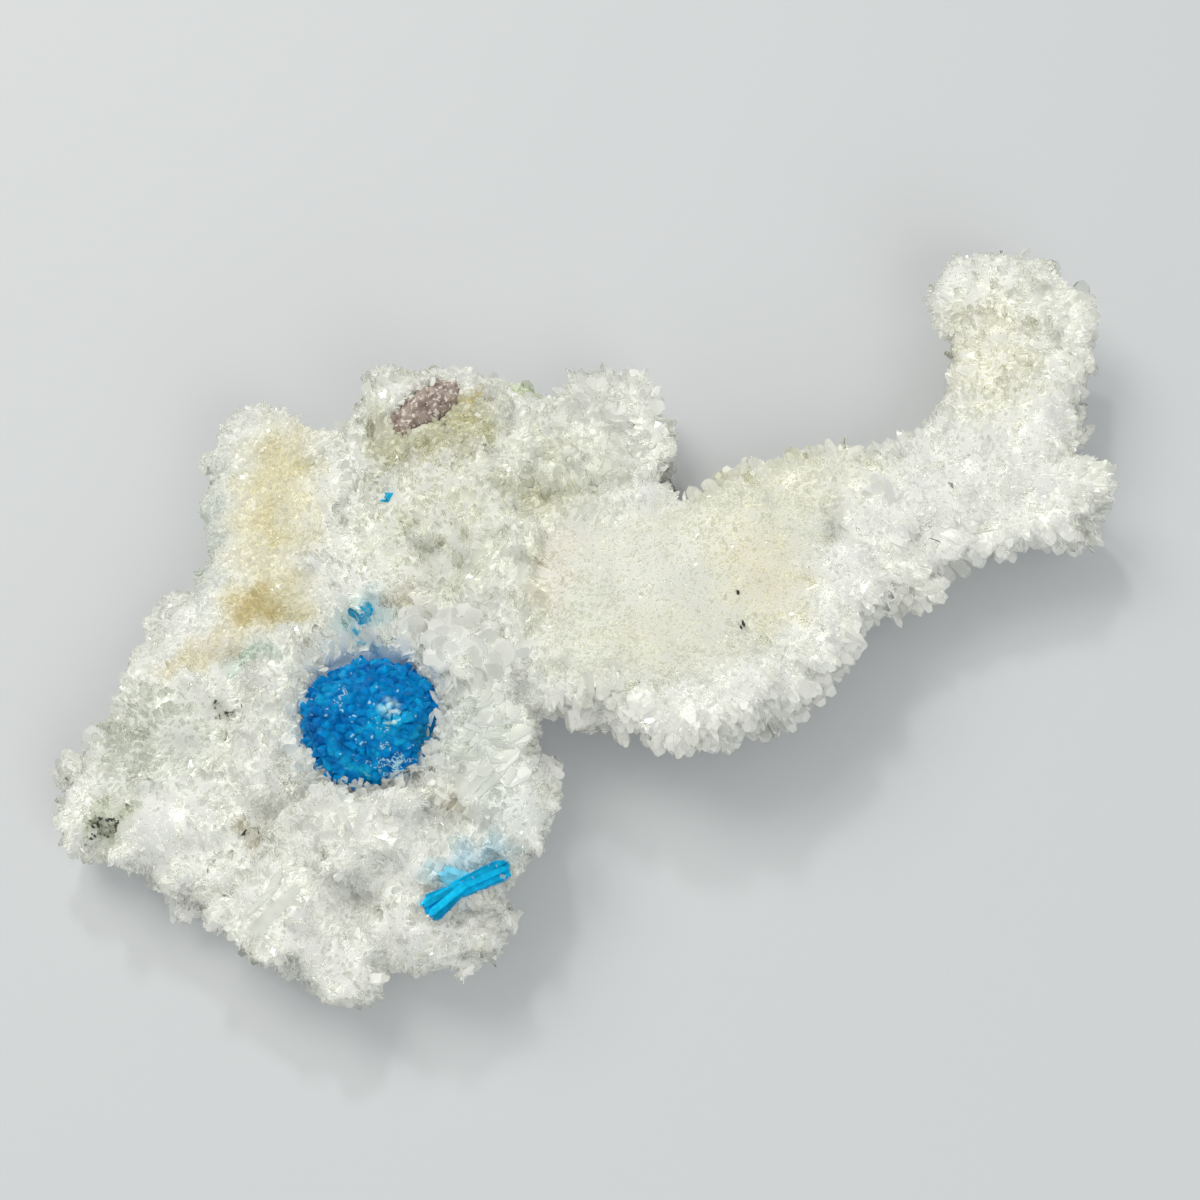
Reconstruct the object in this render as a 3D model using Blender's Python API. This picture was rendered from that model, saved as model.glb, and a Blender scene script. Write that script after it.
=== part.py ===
"""Cavansite on stilbite: the solids of one mineral specimen, in metres, +Z up.

The shapes are worked out in millimetres on the photo's own frame: X to the right of the
photo, Y away from the camera, Z up from the table. At the end they are moved so that the
middle of the bottom of the whole box is the origin, and scaled to metres.
"""

import math
import random

import bmesh
import bpy
import numpy as np
from mathutils import Matrix, Vector, noise

for old in list(bpy.data.objects):
    bpy.data.objects.remove(old, do_unlink=True)

# Driving dimensions, in millimetres.
BASE_Z = 0.0  # the broken-off flat face that it rests on
GAP = 0.32  # between neighbouring pieces
VOXEL = 0.62  # grid that the lumps are fused on
BODY_FACES = 1800
ARM_FACES = 960
CELL = 2.1  # across one pointed bump of the crust
BALL_CENTRE = (-17.8, -11.0, 7.9)
BALL_CORE = 5.3
BALL_TIP = 5.9
ROCK_CENTRE = (-14.2, 15.4, 10.4)
ROCK_RADII = (3.9, 1.7, 1.9)
ROCK_TURN = 41.0
SHEAF_PINCH = (-9.9, -24.2, 9.1)
SHEAF_TURN = 25.0
# The middle of the bottom of the finished box, measured once on the built part.
SHIFT = (-0.87, 0.4)

# The outline of the crust seen from above, clockwise from the finger.
BODY_OUTLINE = [
    (-28.5, 18.3), (-23.5, 16.6), (-21.0, 15.2), (-18.8, 19.4), (-14.7, 21.6),
    (-9.6, 20.0), (-4.6, 18.2), (-3.2, 20.2), (0.8, 22.4), (4.4, 19.8),
    (5.9, 15.0), (5.4, 9.8), (-3.0, 7.5), (-3.8, 0.0), (-3.4, -8.9),
    (-4.9, -12.8), (-3.9, -16.8), (-5.4, -20.8), (-8.0, -23.5), (-7.6, -26.6),
    (-9.2, -29.4), (-13.7, -30.1), (-16.5, -29.8), (-18.6, -32.6), (-23.6, -30.2),
    (-27.6, -27.0), (-33.4, -23.1), (-39.0, -19.6), (-41.4, -16.2), (-40.4, -11.4),
    (-38.6, -10.2), (-38.7, -4.6), (-36.8, -0.6), (-33.6, 2.6), (-32.6, 10.0),
    (-31.2, 16.2),
]
ARM_OUTLINE = [
    (-5.5, 6.4), (-1.0, 8.0), (6.2, 9.8), (11.4, 12.8), (18.8, 13.9), (25.0, 16.0),
    (28.2, 19.6), (29.0, 23.6), (27.9, 28.2), (29.2, 32.6), (34.3, 33.9),
    (40.2, 31.0), (42.9, 26.0), (41.0, 20.6), (39.4, 14.4), (41.8, 13.2),
    (42.9, 10.0), (40.2, 5.9), (34.0, 4.4), (27.9, 3.2), (26.6, 1.4), (24.4, 0.0),
    (20.8, -3.0), (17.6, -7.2), (12.9, -11.1), (7.1, -12.2), (1.2, -9.8),
    (-3.4, -7.6), (-5.8, -2.0),
]
# Where the arm forks off: the body ends left of this line, the arm starts right of it.
FORK_LINE = [
    (14.0, 11.9), (6.6, 9.5), (0.0, 8.5), (-4.0, 6.7), (-5.3, 2.0), (-5.0, -3.0),
    (-3.9, -8.2), (-2.6, -16.0),
]

# Lumps of the crust: x, y, z, then the three half-widths, then the turn about Z.
BODY_LUMPS = [
    (-27.9, 13.6, 5.0, 4.3, 4.4, 4.0, 0), (-27.4, 8.2, 5.4, 4.9, 5.0, 4.0, 0),
    (-27.5, 2.4, 5.4, 5.2, 5.0, 3.9, 0), (-29.6, -2.6, 4.6, 5.2, 4.6, 4.0, 20),
    (-21.4, 9.4, 4.6, 4.0, 6.5, 3.8, 0), (-14.4, 14.6, 6.0, 6.3, 6.2, 5.6, 0),
    (-8.6, 14.4, 5.4, 4.6, 5.2, 4.9, 0), (-13.4, 6.2, 6.0, 7.6, 5.8, 6.0, 0),
    (-4.6, 12.0, 4.4, 4.6, 4.2, 3.6, 0), (0.8, 16.8, 4.2, 4.8, 5.3, 4.0, 0),
    (3.0, 12.6, 4.4, 2.5, 2.9, 3.6, 0), (-7.4, 3.0, 5.4, 4.0, 6.0, 5.0, 0),
    (-18.8, 1.2, 5.0, 5.4, 5.4, 5.0, 0), (-11.2, -6.2, 7.4, 4.3, 3.6, 4.6, 0),
    (-7.6, -4.6, 6.0, 3.2, 5.4, 4.4, 0), (-8.6, -12.4, 6.4, 3.0, 5.6, 4.9, 0),
    (-6.6, -17.4, 5.6, 3.2, 4.2, 3.8, 0), (-12.6, -12.6, 4.6, 5.5, 7.5, 4.4, 0),
    (-24.6, -6.4, 5.2, 4.4, 4.6, 4.6, 0), (-25.6, -12.2, 5.6, 3.9, 5.0, 4.3, 0),
    (-33.2, -9.2, 4.4, 5.6, 6.4, 3.7, 0), (-39.0, -15.6, 3.8, 3.5, 4.4, 3.1, 0),
    (-32.6, -17.2, 4.4, 6.2, 5.2, 3.6, 0), (-30.2, -22.4, 3.8, 5.0, 3.6, 3.0, -30),
    (-18.8, -20.2, 6.2, 6.6, 3.9, 4.5, 0), (-13.6, -21.2, 5.6, 4.4, 4.0, 3.7, 0),
    (-23.8, -25.2, 4.4, 5.4, 4.4, 3.6, 0), (-20.6, -28.6, 3.6, 3.8, 3.2, 2.8, 0),
    (-11.0, -26.4, 4.6, 4.1, 3.6, 3.3, 20), (-14.6, -26.6, 4.4, 4.2, 3.4, 3.2, 0),
    (-9.0, -22.4, 5.4, 2.9, 3.2, 3.3, 0),
]
# The arm's lumps: the fine flat plateau, then the coarse crest along its outer side.
ARM_LUMPS = [
    (-1.5, -1.6, 7.2, 6.5, 8.0, 2.5, 0), (5.4, -0.6, 7.2, 8.0, 8.0, 2.5, 10),
    (11.4, 2.4, 7.2, 7.4, 7.6, 2.5, 30), (0.6, -8.4, 7.0, 4.4, 3.0, 3.3, -8),
    (6.6, -9.4, 7.0, 4.6, 3.0, 3.4, 0), (12.0, -7.6, 7.0, 4.6, 3.1, 3.5, 35),
    (16.4, -3.6, 7.0, 4.4, 3.2, 3.5, 55), (19.4, 1.4, 6.8, 4.2, 3.2, 3.5, 50),
    (11.6, 8.0, 6.8, 5.4, 3.0, 2.9, 22), (17.6, 9.0, 6.8, 5.2, 3.6, 3.1, 10),
    (23.0, 8.4, 6.6, 5.0, 4.6, 3.3, 30), (28.4, 10.2, 6.2, 4.6, 5.0, 3.2, 30),
    (33.4, 12.4, 5.8, 4.8, 5.6, 3.1, 45), (35.4, 18.2, 5.6, 4.6, 5.0, 3.1, 80),
    (35.4, 23.8, 5.6, 5.2, 4.8, 3.1, 90), (34.8, 28.8, 5.6, 4.8, 4.0, 2.9, 0),
    (38.2, 9.4, 4.8, 3.6, 3.5, 3.0, 0), (24.8, 2.0, 4.6, 2.7, 1.9, 2.0, 25),
]


def outline_in(outline, inset):
    """The outline moved inwards by `inset` along each corner's own normal."""
    moved = []
    count = len(outline)
    for i in range(count):
        before = Vector(outline[i - 1])
        here = Vector(outline[i])
        after = Vector(outline[(i + 1) % count])
        along = (after - before).normalized()
        moved.append((here.x + along.y * inset, here.y - along.x * inset))
    return moved


def add_slab(bm, outline, low, high):
    """A flat slab with the given outline, between two heights."""
    base = [bm.verts.new((x, y, low)) for x, y in outline]
    face = bm.faces.new(base)
    face.normal_update()
    if face.normal.z > 0:
        face.normal_flip()
    pushed = bmesh.ops.extrude_face_region(bm, geom=[face])
    top = [v for v in pushed["geom"] if isinstance(v, bmesh.types.BMVert)]
    bmesh.ops.translate(bm, verts=top, vec=(0, 0, high - low))
    bmesh.ops.recalc_face_normals(bm, faces=bm.faces)


def add_lump(bm, lump, detail=3):
    """An ellipsoid: x, y, z, half-widths, turn about Z in degrees."""
    x, y, z, a, b, c, turn = lump
    place = Matrix.Translation((x, y, z)) @ Matrix.Rotation(math.radians(turn), 4, "Z")
    shape = place @ Matrix.Diagonal((a, b, c, 1.0))
    bmesh.ops.create_icosphere(bm, subdivisions=detail, radius=1.0, matrix=shape)


def new_object(name, bm):
    mesh = bpy.data.meshes.new(name)
    bm.to_mesh(mesh)
    bm.free()
    made = bpy.data.objects.new(name, mesh)
    bpy.context.scene.collection.objects.link(made)
    return made


def settle(obj):
    """The object's modifiers worked out into its own mesh."""
    graph = bpy.context.evaluated_depsgraph_get()
    mesh = bpy.data.meshes.new_from_object(obj.evaluated_get(graph))
    obj.modifiers.clear()
    obj.data = mesh


def combine(obj, other, operation, own=False):
    """Union or difference with another object, which is removed after."""
    step = obj.modifiers.new("combine", "BOOLEAN")
    step.operation = operation
    step.solver = "EXACT"
    step.use_self = own
    step.object = other
    settle(obj)
    bpy.data.objects.remove(other, do_unlink=True)


def keep_largest(obj):
    """Drops any crumb that a cut has left loose."""
    bm = bmesh.new()
    bm.from_mesh(obj.data)
    bmesh.ops.triangulate(bm, faces=bm.faces)
    bmesh.ops.remove_doubles(bm, verts=bm.verts, dist=0.0008)
    bmesh.ops.dissolve_degenerate(bm, edges=bm.edges, dist=0.0008)
    bm.verts.ensure_lookup_table()
    seen = set()
    islands = []
    for start in bm.verts:
        if start.index in seen:
            continue
        seen.add(start.index)
        heap = [start]
        island = []
        while heap:
            vert = heap.pop()
            island.append(vert)
            for edge in vert.link_edges:
                other = edge.other_vert(vert)
                if other.index not in seen:
                    seen.add(other.index)
                    heap.append(other)
        islands.append(island)
    islands.sort(key=len, reverse=True)
    for island in islands[1:]:
        bmesh.ops.delete(bm, geom=island, context="VERTS")
    bm.to_mesh(obj.data)
    bm.free()


def calm(spot):
    """How rough the crust is at a place, from 0.12 on the fine plateau to 1."""
    if -4.0 < spot.x < 17.5 and -6.2 < spot.y < 8.0 and spot.z > 8.0:
        return 0.12
    if -31.8 < spot.x < -23.2 and -3.5 < spot.y < 17.0:
        return 0.35
    return 1.0


def fused(name, bm, faces, relief, smooth):
    """The overlapping shapes made one skin, softened, roughened and cut down to `faces`."""
    obj = new_object(name, bm)
    step = obj.modifiers.new("fuse", "REMESH")
    step.mode = "VOXEL"
    step.voxel_size = VOXEL
    step = obj.modifiers.new("soften", "SMOOTH")
    step.iterations = smooth
    step.factor = 0.5
    settle(obj)
    mesh = obj.data
    normals = [v.normal.copy() for v in mesh.vertices]
    for vert, normal in zip(mesh.vertices, normals):
        where = vert.co / 3.4
        push = relief * noise.noise(where)
        bump = 0.62 - noise.voronoi(vert.co / CELL)[0][0]
        push = (push + 0.95 * bump) * calm(vert.co)
        vert.co = vert.co + normal * push
    step = obj.modifiers.new("thin", "DECIMATE")
    step.ratio = faces / (2 * len(mesh.polygons))
    settle(obj)
    return obj


def cut_flat(obj):
    """Cuts off everything under the table height, which leaves the flat base."""
    bm = bmesh.new()
    bmesh.ops.create_cube(bm, size=1.0)
    place = Matrix.Translation((0, 0, BASE_Z - 20)) @ Matrix.Diagonal((140, 140, 40, 1))
    bm.transform(place)
    combine(obj, new_object("table_cut", bm), "DIFFERENCE")


def add_blade(bm, foot, along, wide, width, thick, length, shape=0.7, point=0.4):
    """One stilbite blade: a flat prism that narrows to a short chisel edge."""
    up = along.normalized()
    side = (wide - up * wide.dot(up)).normalized()
    flat = up.cross(side)
    rings = []
    for share, scale in ((0.0, 1.0), (shape, 0.94)):
        ring = []
        for s, f in ((-1, -1), (1, -1), (1, 1), (-1, 1)):
            point_at = foot + up * (length * share)
            point_at = point_at + side * (s * width * scale / 2) + flat * (f * thick * scale / 2)
            ring.append(bm.verts.new(point_at))
        rings.append(ring)
    edge = [bm.verts.new(foot + up * length + side * (s * width * point / 2)) for s in (-1, 1)]
    low, high = rings
    bm.faces.new(low[::-1])
    for i in range(4):
        bm.faces.new((low[i], low[(i + 1) % 4], high[(i + 1) % 4], high[i]))
    bm.faces.new((high[0], high[1], edge[1], edge[0]))
    bm.faces.new((high[2], high[3], edge[0], edge[1]))
    bm.faces.new((high[1], high[2], edge[1]))
    bm.faces.new((high[3], high[0], edge[0]))


def pick_spots(obj, rule, seed):
    """Seeded spots on the skin: `rule` gives spacing and the blade for a place, or None."""
    rng = random.Random(seed)
    bm = bmesh.new()
    bm.from_mesh(obj.data)
    bmesh.ops.triangulate(bm, faces=bm.faces)
    faces = list(bm.faces)
    areas = np.array([f.calc_area() for f in faces])
    ends = np.cumsum(areas) / areas.sum()
    taken = []
    spots = []
    for _ in range(9000):
        face = faces[min(int(np.searchsorted(ends, rng.random())), len(faces) - 1)]
        a, b, c = (v.co for v in face.verts)
        r = math.sqrt(rng.random())
        t = rng.random()
        spot = a * (1 - r) + b * (r * (1 - t)) + c * (r * t)
        plan = rule(spot, face.normal, rng)
        if plan is None:
            continue
        spacing = plan[0]
        if any((spot - other).length < 0.5 * (spacing + gap) for other, gap in taken):
            continue
        taken.append((spot.copy(), spacing))
        spots.append((spot.copy(), face.normal.copy(), plan[1:]))
    bm.free()
    return spots, rng


def grow(obj, rule, seed, more=()):
    """Fuses seeded blades to the skin, and the blades listed in `more`."""
    spots, rng = pick_spots(obj, rule, seed)
    bm = bmesh.new()
    for foot, along, wide, width, thick, length in more:
        add_blade(bm, foot, along, wide, width, thick, length)
    for spot, normal, plan in spots:
        width, thick, length, along = plan
        wide = Vector((rng.gauss(0, 1), rng.gauss(0, 1), rng.gauss(0, 0.6)))
        up = along.normalized()
        add_blade(bm, spot - up * 0.7, up, wide, width, thick, length + 0.7)
    bmesh.ops.recalc_face_normals(bm, faces=bm.faces)
    print(obj.name, len(spots), "blades")
    combine(obj, new_object("blades", bm), "UNION", own=True)
    keep_largest(obj)


def near(spot, place, reach):
    return (spot.x - place[0]) ** 2 + (spot.y - place[1]) ** 2 < reach ** 2


def body_rule(spot, normal, rng):
    """Where the crust carries coarse blades, and how big they are."""
    if spot.z < 1.6 or normal.z < -0.35:
        return None
    if near(spot, BALL_CENTRE, 6.4) or near(spot, ROCK_CENTRE, 4.4):
        return None
    if near(spot, (-9.9, -24.0), 3.4) and normal.z > 0.5:
        return None
    fork = spot.x > -6.2 and -9.5 < spot.y < 7.5
    if fork or (spot.x > -2.0 and spot.y < 11.0):
        return None
    # The finger keeps a smooth stained stripe and a smooth flank.
    if -31.6 < spot.x < -23.4 and -4.0 < spot.y < 17.0:
        return None
    tilt = Vector((rng.gauss(0, 0.5), rng.gauss(0, 0.5), rng.gauss(0, 0.35)))
    along = normal + tilt
    if normal.z < 0.45:
        along.z = along.z * 0.6 + 0.15
        return 3.7, rng.uniform(1.4, 2.2), rng.uniform(0.8, 1.1), rng.uniform(0.9, 1.6), along
    if near(spot, (-11.2, -6.2), 4.6):
        along = normal + Vector((spot.x + 11.2, spot.y + 6.2, 0)) * 0.3
        return 2.8, rng.uniform(2.4, 3.0), 0.8, rng.uniform(1.3, 1.8), along
    big = rng.random() < 0.4
    width = rng.uniform(2.0, 2.7) if big else rng.uniform(1.3, 1.9)
    return 4.6, width, rng.uniform(0.8, 1.1), rng.uniform(1.0, 1.9), along


def arm_rule(spot, normal, rng):
    """The arm: radial tips on the coarse crest, none on the fine plateau."""
    if spot.x < -3.0 or normal.z < -0.55:
        return None
    if spot.y > 7.0 and spot.x < 8.0:
        return None
    along = normal + Vector((rng.gauss(0, 0.25), rng.gauss(0, 0.25), rng.gauss(0, 0.2)))
    if normal.z < 0.55:
        return 3.3, rng.uniform(1.2, 1.8), rng.uniform(0.7, 1.0), rng.uniform(0.9, 1.6), along
    if spot.x < 16.0 and -5.6 < spot.y < 7.5:
        return None
    return 4.6, rng.uniform(1.4, 2.0), rng.uniform(0.7, 1.0), rng.uniform(0.7, 1.2), along


def prism(bm, foot, tip, width, thick, wide):
    add_blade(bm, foot, tip - foot, wide, width, thick, (tip - foot).length, 0.86, 0.55)


def collar(body):
    """Blades that stand round the blue ball and lean out from it."""
    rng = random.Random(3)
    centre = Vector(BALL_CENTRE)
    made = []
    for i in range(13):
        turn = math.radians(i * 360 / 13 + rng.uniform(-7, 7))
        out = Vector((math.cos(turn), math.sin(turn), 0))
        x, y = (centre + out * rng.uniform(7.1, 7.5)).xy
        foot = Vector((x, y, surface_height(body, x, y) - 0.9))
        along = Vector((out.x * 0.28, out.y * 0.28, 1.0))
        wide = Vector((-out.y, out.x, rng.uniform(-0.3, 0.3)))
        made.append((foot, along, wide, rng.uniform(1.7, 2.6), 0.8, rng.uniform(2.2, 3.0)))
    return made


def make_body():
    bm = bmesh.new()
    add_slab(bm, outline_in(BODY_OUTLINE, 3.2), -1.5, 4.0)
    add_slab(bm, outline_in(BODY_OUTLINE, 1.1), 2.2, 5.0)
    for lump in BODY_LUMPS:
        add_lump(bm, lump)
    body = fused("stilbite_body", bm, BODY_FACES, 0.75, 3)
    cut_flat(body)
    grow(body, body_rule, 11, collar(body))
    return body


def make_arm():
    bm = bmesh.new()
    add_slab(bm, outline_in(ARM_OUTLINE, 1.3), 4.9, 7.4)
    for lump in ARM_LUMPS:
        add_lump(bm, lump)
    arm = fused("stilbite_arm", bm, ARM_FACES, 0.4, 3)
    grow(arm, arm_rule, 23)
    return arm


def fork_cutter(shift, reach):
    """Everything on the arm's side of the fork line, moved by `shift` towards the arm."""
    line = [(x + shift, y - shift) for x, y in FORK_LINE]
    x_end, y_end = line[-1]
    points = line + [(x_end, -reach), (reach, -reach), (reach, line[0][1])]
    bm = bmesh.new()
    add_slab(bm, points, -2.0, 24.0)
    return new_object("fork_cut", bm)


def body_side(reach):
    """Everything on the body's side of the fork line."""
    line = [(x + GAP, y - GAP) for x, y in FORK_LINE]
    points = line + [(line[-1][0], -reach), (-reach, -reach), (-reach, 12.5), (line[0][0], 12.5)]
    bm = bmesh.new()
    add_slab(bm, points, -2.0, 24.0)
    return new_object("body_side", bm)


def ball_shape(radius, detail):
    bm = bmesh.new()
    place = Matrix.Translation(BALL_CENTRE)
    bmesh.ops.create_icosphere(bm, subdivisions=detail, radius=radius, matrix=place)
    return bm


def make_ball():
    """The rosette: a round core with radial prism tips over all that shows."""
    rng = random.Random(5)
    ball = new_object("cavansite_ball", ball_shape(BALL_CORE, 2))
    bm = bmesh.new()
    centre = Vector(BALL_CENTRE)
    count = 44
    for i in range(count):
        z = 1 - (i + 0.5) * 1.2 / count
        ring = math.sqrt(max(0.0, 1 - z * z))
        turn = i * 2.39996 + rng.uniform(-0.1, 0.1)
        out = Vector((ring * math.cos(turn), ring * math.sin(turn), z)).normalized()
        tip = centre + out * rng.uniform(BALL_CORE + 0.2, BALL_TIP)
        wide = Vector((rng.gauss(0, 1), rng.gauss(0, 1), rng.gauss(0, 1)))
        prism(bm, centre + out * (BALL_CORE - 0.9), tip, rng.uniform(1.4, 1.8), 1.2, wide)
    bmesh.ops.recalc_face_normals(bm, faces=bm.faces)
    combine(ball, new_object("tips", bm), "UNION", own=True)
    keep_largest(ball)
    return ball


def rock_shape(extra, detail):
    bm = bmesh.new()
    x, y, z = ROCK_CENTRE
    a, b, c = (r + extra for r in ROCK_RADII)
    add_lump(bm, (x, y, z, a, b, c, ROCK_TURN), detail)
    return bm


def make_rock():
    bm = rock_shape(0.0, 2)
    for vert in bm.verts:
        vert.co = vert.co + (Vector(ROCK_CENTRE) - vert.co) * (0.07 * (1 + noise.noise(vert.co)))
    return new_object("matrix_rock", bm)


def sheaf_prisms(extra):
    """The bow-tie: a block of parallel prisms, and a fan that spreads to the left."""
    bm = bmesh.new()
    turn = math.radians(SHEAF_TURN)
    along = Vector((math.cos(turn), math.sin(turn), 0))
    across = Vector((-along.y, along.x, 0))
    up = Vector((0, 0, 1))
    pinch = Vector(SHEAF_PINCH)
    for i, height in ((-1, -0.1), (0, 0.12), (1, -0.06)):
        foot = pinch - along * 0.8 + across * (i * 0.46) + up * height
        tip = pinch + along * (3.9 - 0.25 * abs(i)) + across * (i * 0.62) + up * (height + 0.1)
        prism(bm, foot, tip, 0.66 + extra, 1.1 + extra, across)
    for i in range(-2, 3):
        spread = math.radians(11.0 * i)
        out = -along * math.cos(spread) + across * math.sin(spread)
        foot = pinch + along * 0.9 + across * (0.16 * i)
        tip = pinch + out * (4.1 - 0.22 * abs(i)) + up * (0.1 * (i % 2) - 0.35)
        prism(bm, foot, tip, 0.62 + extra, 1.0 + extra, across)
    bmesh.ops.recalc_face_normals(bm, faces=bm.faces)
    return bm


def make_sheaf():
    bm = sheaf_prisms(0.0)
    sheaf = new_object("cavansite_sheaf", bm)
    core = bmesh.new()
    pinch = Vector(SHEAF_PINCH)
    place = Matrix.Translation(pinch) @ Matrix.Rotation(math.radians(SHEAF_TURN), 4, "Z")
    bmesh.ops.create_cube(core, size=1.0, matrix=place @ Matrix.Diagonal((1.2, 1.1, 0.9, 1)))
    combine(sheaf, new_object("heart", core), "UNION", own=True)
    keep_largest(sheaf)
    return sheaf


def sheaf_bed():
    """Room for the sheaf, open to the top: its shape from above, with the gap round it."""
    turn = math.radians(SHEAF_TURN)
    along = Vector((math.cos(turn), math.sin(turn)))
    across = Vector((-along.y, along.x))
    pinch = Vector(SHEAF_PINCH[:2])
    outline = [
        (4.35, 1.5), (0.6, 1.1), (-1.2, 1.15), (-4.5, 2.45), (-4.9, 0.0),
        (-4.5, -2.45), (-1.2, -1.15), (0.6, -1.1), (4.35, -1.5),
    ]
    points = [tuple(pinch + along * a + across * b) for a, b in outline]
    bm = bmesh.new()
    add_slab(bm, points, SHEAF_PINCH[2] - 1.3, 24.0)
    return new_object("sheaf_bed", bm)


FLECKS = {
    "cavansite_fleck_1": ((-16.8, 7.2), 0.50, 20.0),
    "cavansite_fleck_2": ((-18.2, -2.2), 0.36, 70.0),
    "cavansite_fleck_3": ((-17.7, -4.0), 0.42, -20.0),
}


def surface_height(obj, x, y):
    hit, where, _, _ = obj.ray_cast(Vector((x, y, 40)), Vector((0, 0, -1)))
    return where.z if hit else 8.0


def add_grain(bm, centre, size, turn, stretch=1.0):
    """A small three-sided grain with a flat top."""
    corners = []
    for k in range(3):
        angle = math.radians(turn + 120 * k)
        reach = size * (1.5 if k == 0 else 1.0) * stretch
        corners.append((centre[0] + reach * math.cos(angle), centre[1] + reach * math.sin(angle)))
    return corners


def make_flecks(body):
    made = []
    for name, (place, size, turn) in FLECKS.items():
        top = surface_height(body, *place)
        bm = bmesh.new()
        add_slab(bm, add_grain(bm, place, size, turn), top - 0.25, top + 0.3)
        made.append(new_object(name, bm))
        bm = bmesh.new()
        add_slab(bm, add_grain(bm, place, size, turn, 2.1), top - 0.6, 24.0)
        combine(body, new_object("fleck_bed", bm), "DIFFERENCE")
    keep_largest(body)
    return made


def paint(obj, colour, rough, clear=0.0):
    material = bpy.data.materials.new(obj.name)
    material.use_nodes = True
    shader = material.node_tree.nodes["Principled BSDF"]
    shader.inputs["Base Color"].default_value = (*colour, 1.0)
    shader.inputs["Roughness"].default_value = rough
    shader.inputs["Transmission Weight"].default_value = clear
    obj.data.materials.clear()
    obj.data.materials.append(material)


body = make_body()
arm = make_arm()
combine(body, fork_cutter(0.0, 90.0), "DIFFERENCE")
combine(arm, body_side(90.0), "DIFFERENCE")
combine(body, new_object("ball_bed", ball_shape(BALL_TIP + GAP, 2)), "DIFFERENCE")
combine(body, new_object("rock_bed", rock_shape(GAP, 2)), "DIFFERENCE")
combine(body, sheaf_bed(), "DIFFERENCE")
flecks = make_flecks(body)
keep_largest(body)
keep_largest(arm)
ball = make_ball()
rock = make_rock()
sheaf = make_sheaf()

paint(body, (0.86, 0.86, 0.84), 0.35, 0.2)
paint(arm, (0.87, 0.85, 0.80), 0.35, 0.2)
paint(rock, (0.22, 0.15, 0.14), 0.8)
for blue in [ball, sheaf, *flecks]:
    paint(blue, (0.01, 0.22, 0.62), 0.3)

# To metres, with the middle of the bottom of the whole box on the origin.
to_metres = Matrix.Scale(0.001, 4) @ Matrix.Translation((-SHIFT[0], -SHIFT[1], -BASE_Z))
for made in [body, arm, rock, ball, sheaf, *flecks]:
    made.data.transform(to_metres)
    made.data.update()
    for face in made.data.polygons:
        face.use_smooth = False
    box = np.array([v.co for v in made.data.vertices])
    print(made.name, len(made.data.polygons), box.min(0).round(5), box.max(0).round(5))
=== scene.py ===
# %% [markdown]
# # Cavansite on stilbite
# A hand-sized crust of white stilbite crystals with a round rosette of blue cavansite on it.
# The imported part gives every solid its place. This lesson dresses those solids: it fuses the
# two stilbite solids to one skin, grows thousands of small crystals on it, and rebuilds the
# blue crystals prism by prism.

import math

import bmesh
import bpy
import numpy as np
from mathutils import Matrix, Vector
from mathutils.kdtree import KDTree


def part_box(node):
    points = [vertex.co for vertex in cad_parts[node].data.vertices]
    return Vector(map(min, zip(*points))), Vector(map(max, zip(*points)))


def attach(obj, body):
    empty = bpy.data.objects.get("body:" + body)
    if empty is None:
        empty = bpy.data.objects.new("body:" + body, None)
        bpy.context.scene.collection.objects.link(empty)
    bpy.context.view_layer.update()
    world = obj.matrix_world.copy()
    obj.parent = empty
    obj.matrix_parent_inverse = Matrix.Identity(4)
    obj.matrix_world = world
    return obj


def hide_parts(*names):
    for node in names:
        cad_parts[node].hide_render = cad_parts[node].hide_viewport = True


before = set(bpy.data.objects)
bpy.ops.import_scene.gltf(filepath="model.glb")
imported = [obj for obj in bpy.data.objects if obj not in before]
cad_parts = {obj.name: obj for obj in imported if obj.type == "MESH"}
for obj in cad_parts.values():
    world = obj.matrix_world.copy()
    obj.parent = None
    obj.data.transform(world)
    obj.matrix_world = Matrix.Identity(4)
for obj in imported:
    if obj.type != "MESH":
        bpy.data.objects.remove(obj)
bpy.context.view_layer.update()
print("nodes:", sorted(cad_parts))

# %% [markdown]
# Places below are in millimetres, measured on the photo: X to the right, Y away from the
# camera, Z up from the table, from the middle of the picture. The part's own origin is the
# middle of its underside, so one small shift turns the one into the other.

# %% Millimetres and places
MM = 0.001
CENTRE = np.array([-0.87, 0.4, 0.0])


def place(x, y, z):
    """A place on the photo, in millimetres, as a point of the part, in metres."""
    return Vector((x - CENTRE[0], y - CENTRE[1], z)) * MM


def photo_mm(points):
    """Points of the part, in metres, as millimetres on the photo."""
    return np.asarray(points) / MM + CENTRE


# %% [markdown]
# The picture was taken from above, about 65 degrees up, from the front. At 80 mm of focal
# length and 0.08 mm to a pixel the camera stands 213 mm from the specimen.

# %% Camera
ELEVATION = math.radians(65.0)
FOCAL = 80.0
DISTANCE = 0.08 * 1200 / (36.0 / FOCAL)
camera_data = bpy.data.cameras.new("camera")
camera_data.lens = FOCAL
camera_data.sensor_width = 36.0
camera_data.sensor_fit = "HORIZONTAL"
camera_data.clip_start = 0.01
camera = bpy.data.objects.new("camera", camera_data)
bpy.context.scene.collection.objects.link(camera)
target = place(0, 0, 7)
back = Vector((0, -math.cos(ELEVATION), math.sin(ELEVATION)))
camera.location = target + back * DISTANCE * MM
camera.rotation_euler = (math.pi / 2 - ELEVATION, 0, 0)
bpy.context.scene.camera = camera
print("camera at", [round(v, 4) for v in camera.location])

# %% [markdown]
# Colours are written as sRGB hex, as a paint program shows them. Blender works in linear
# light, so one function turns the one into the other. One more function adds a node with its
# settings and links, which keeps each material short.


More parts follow.
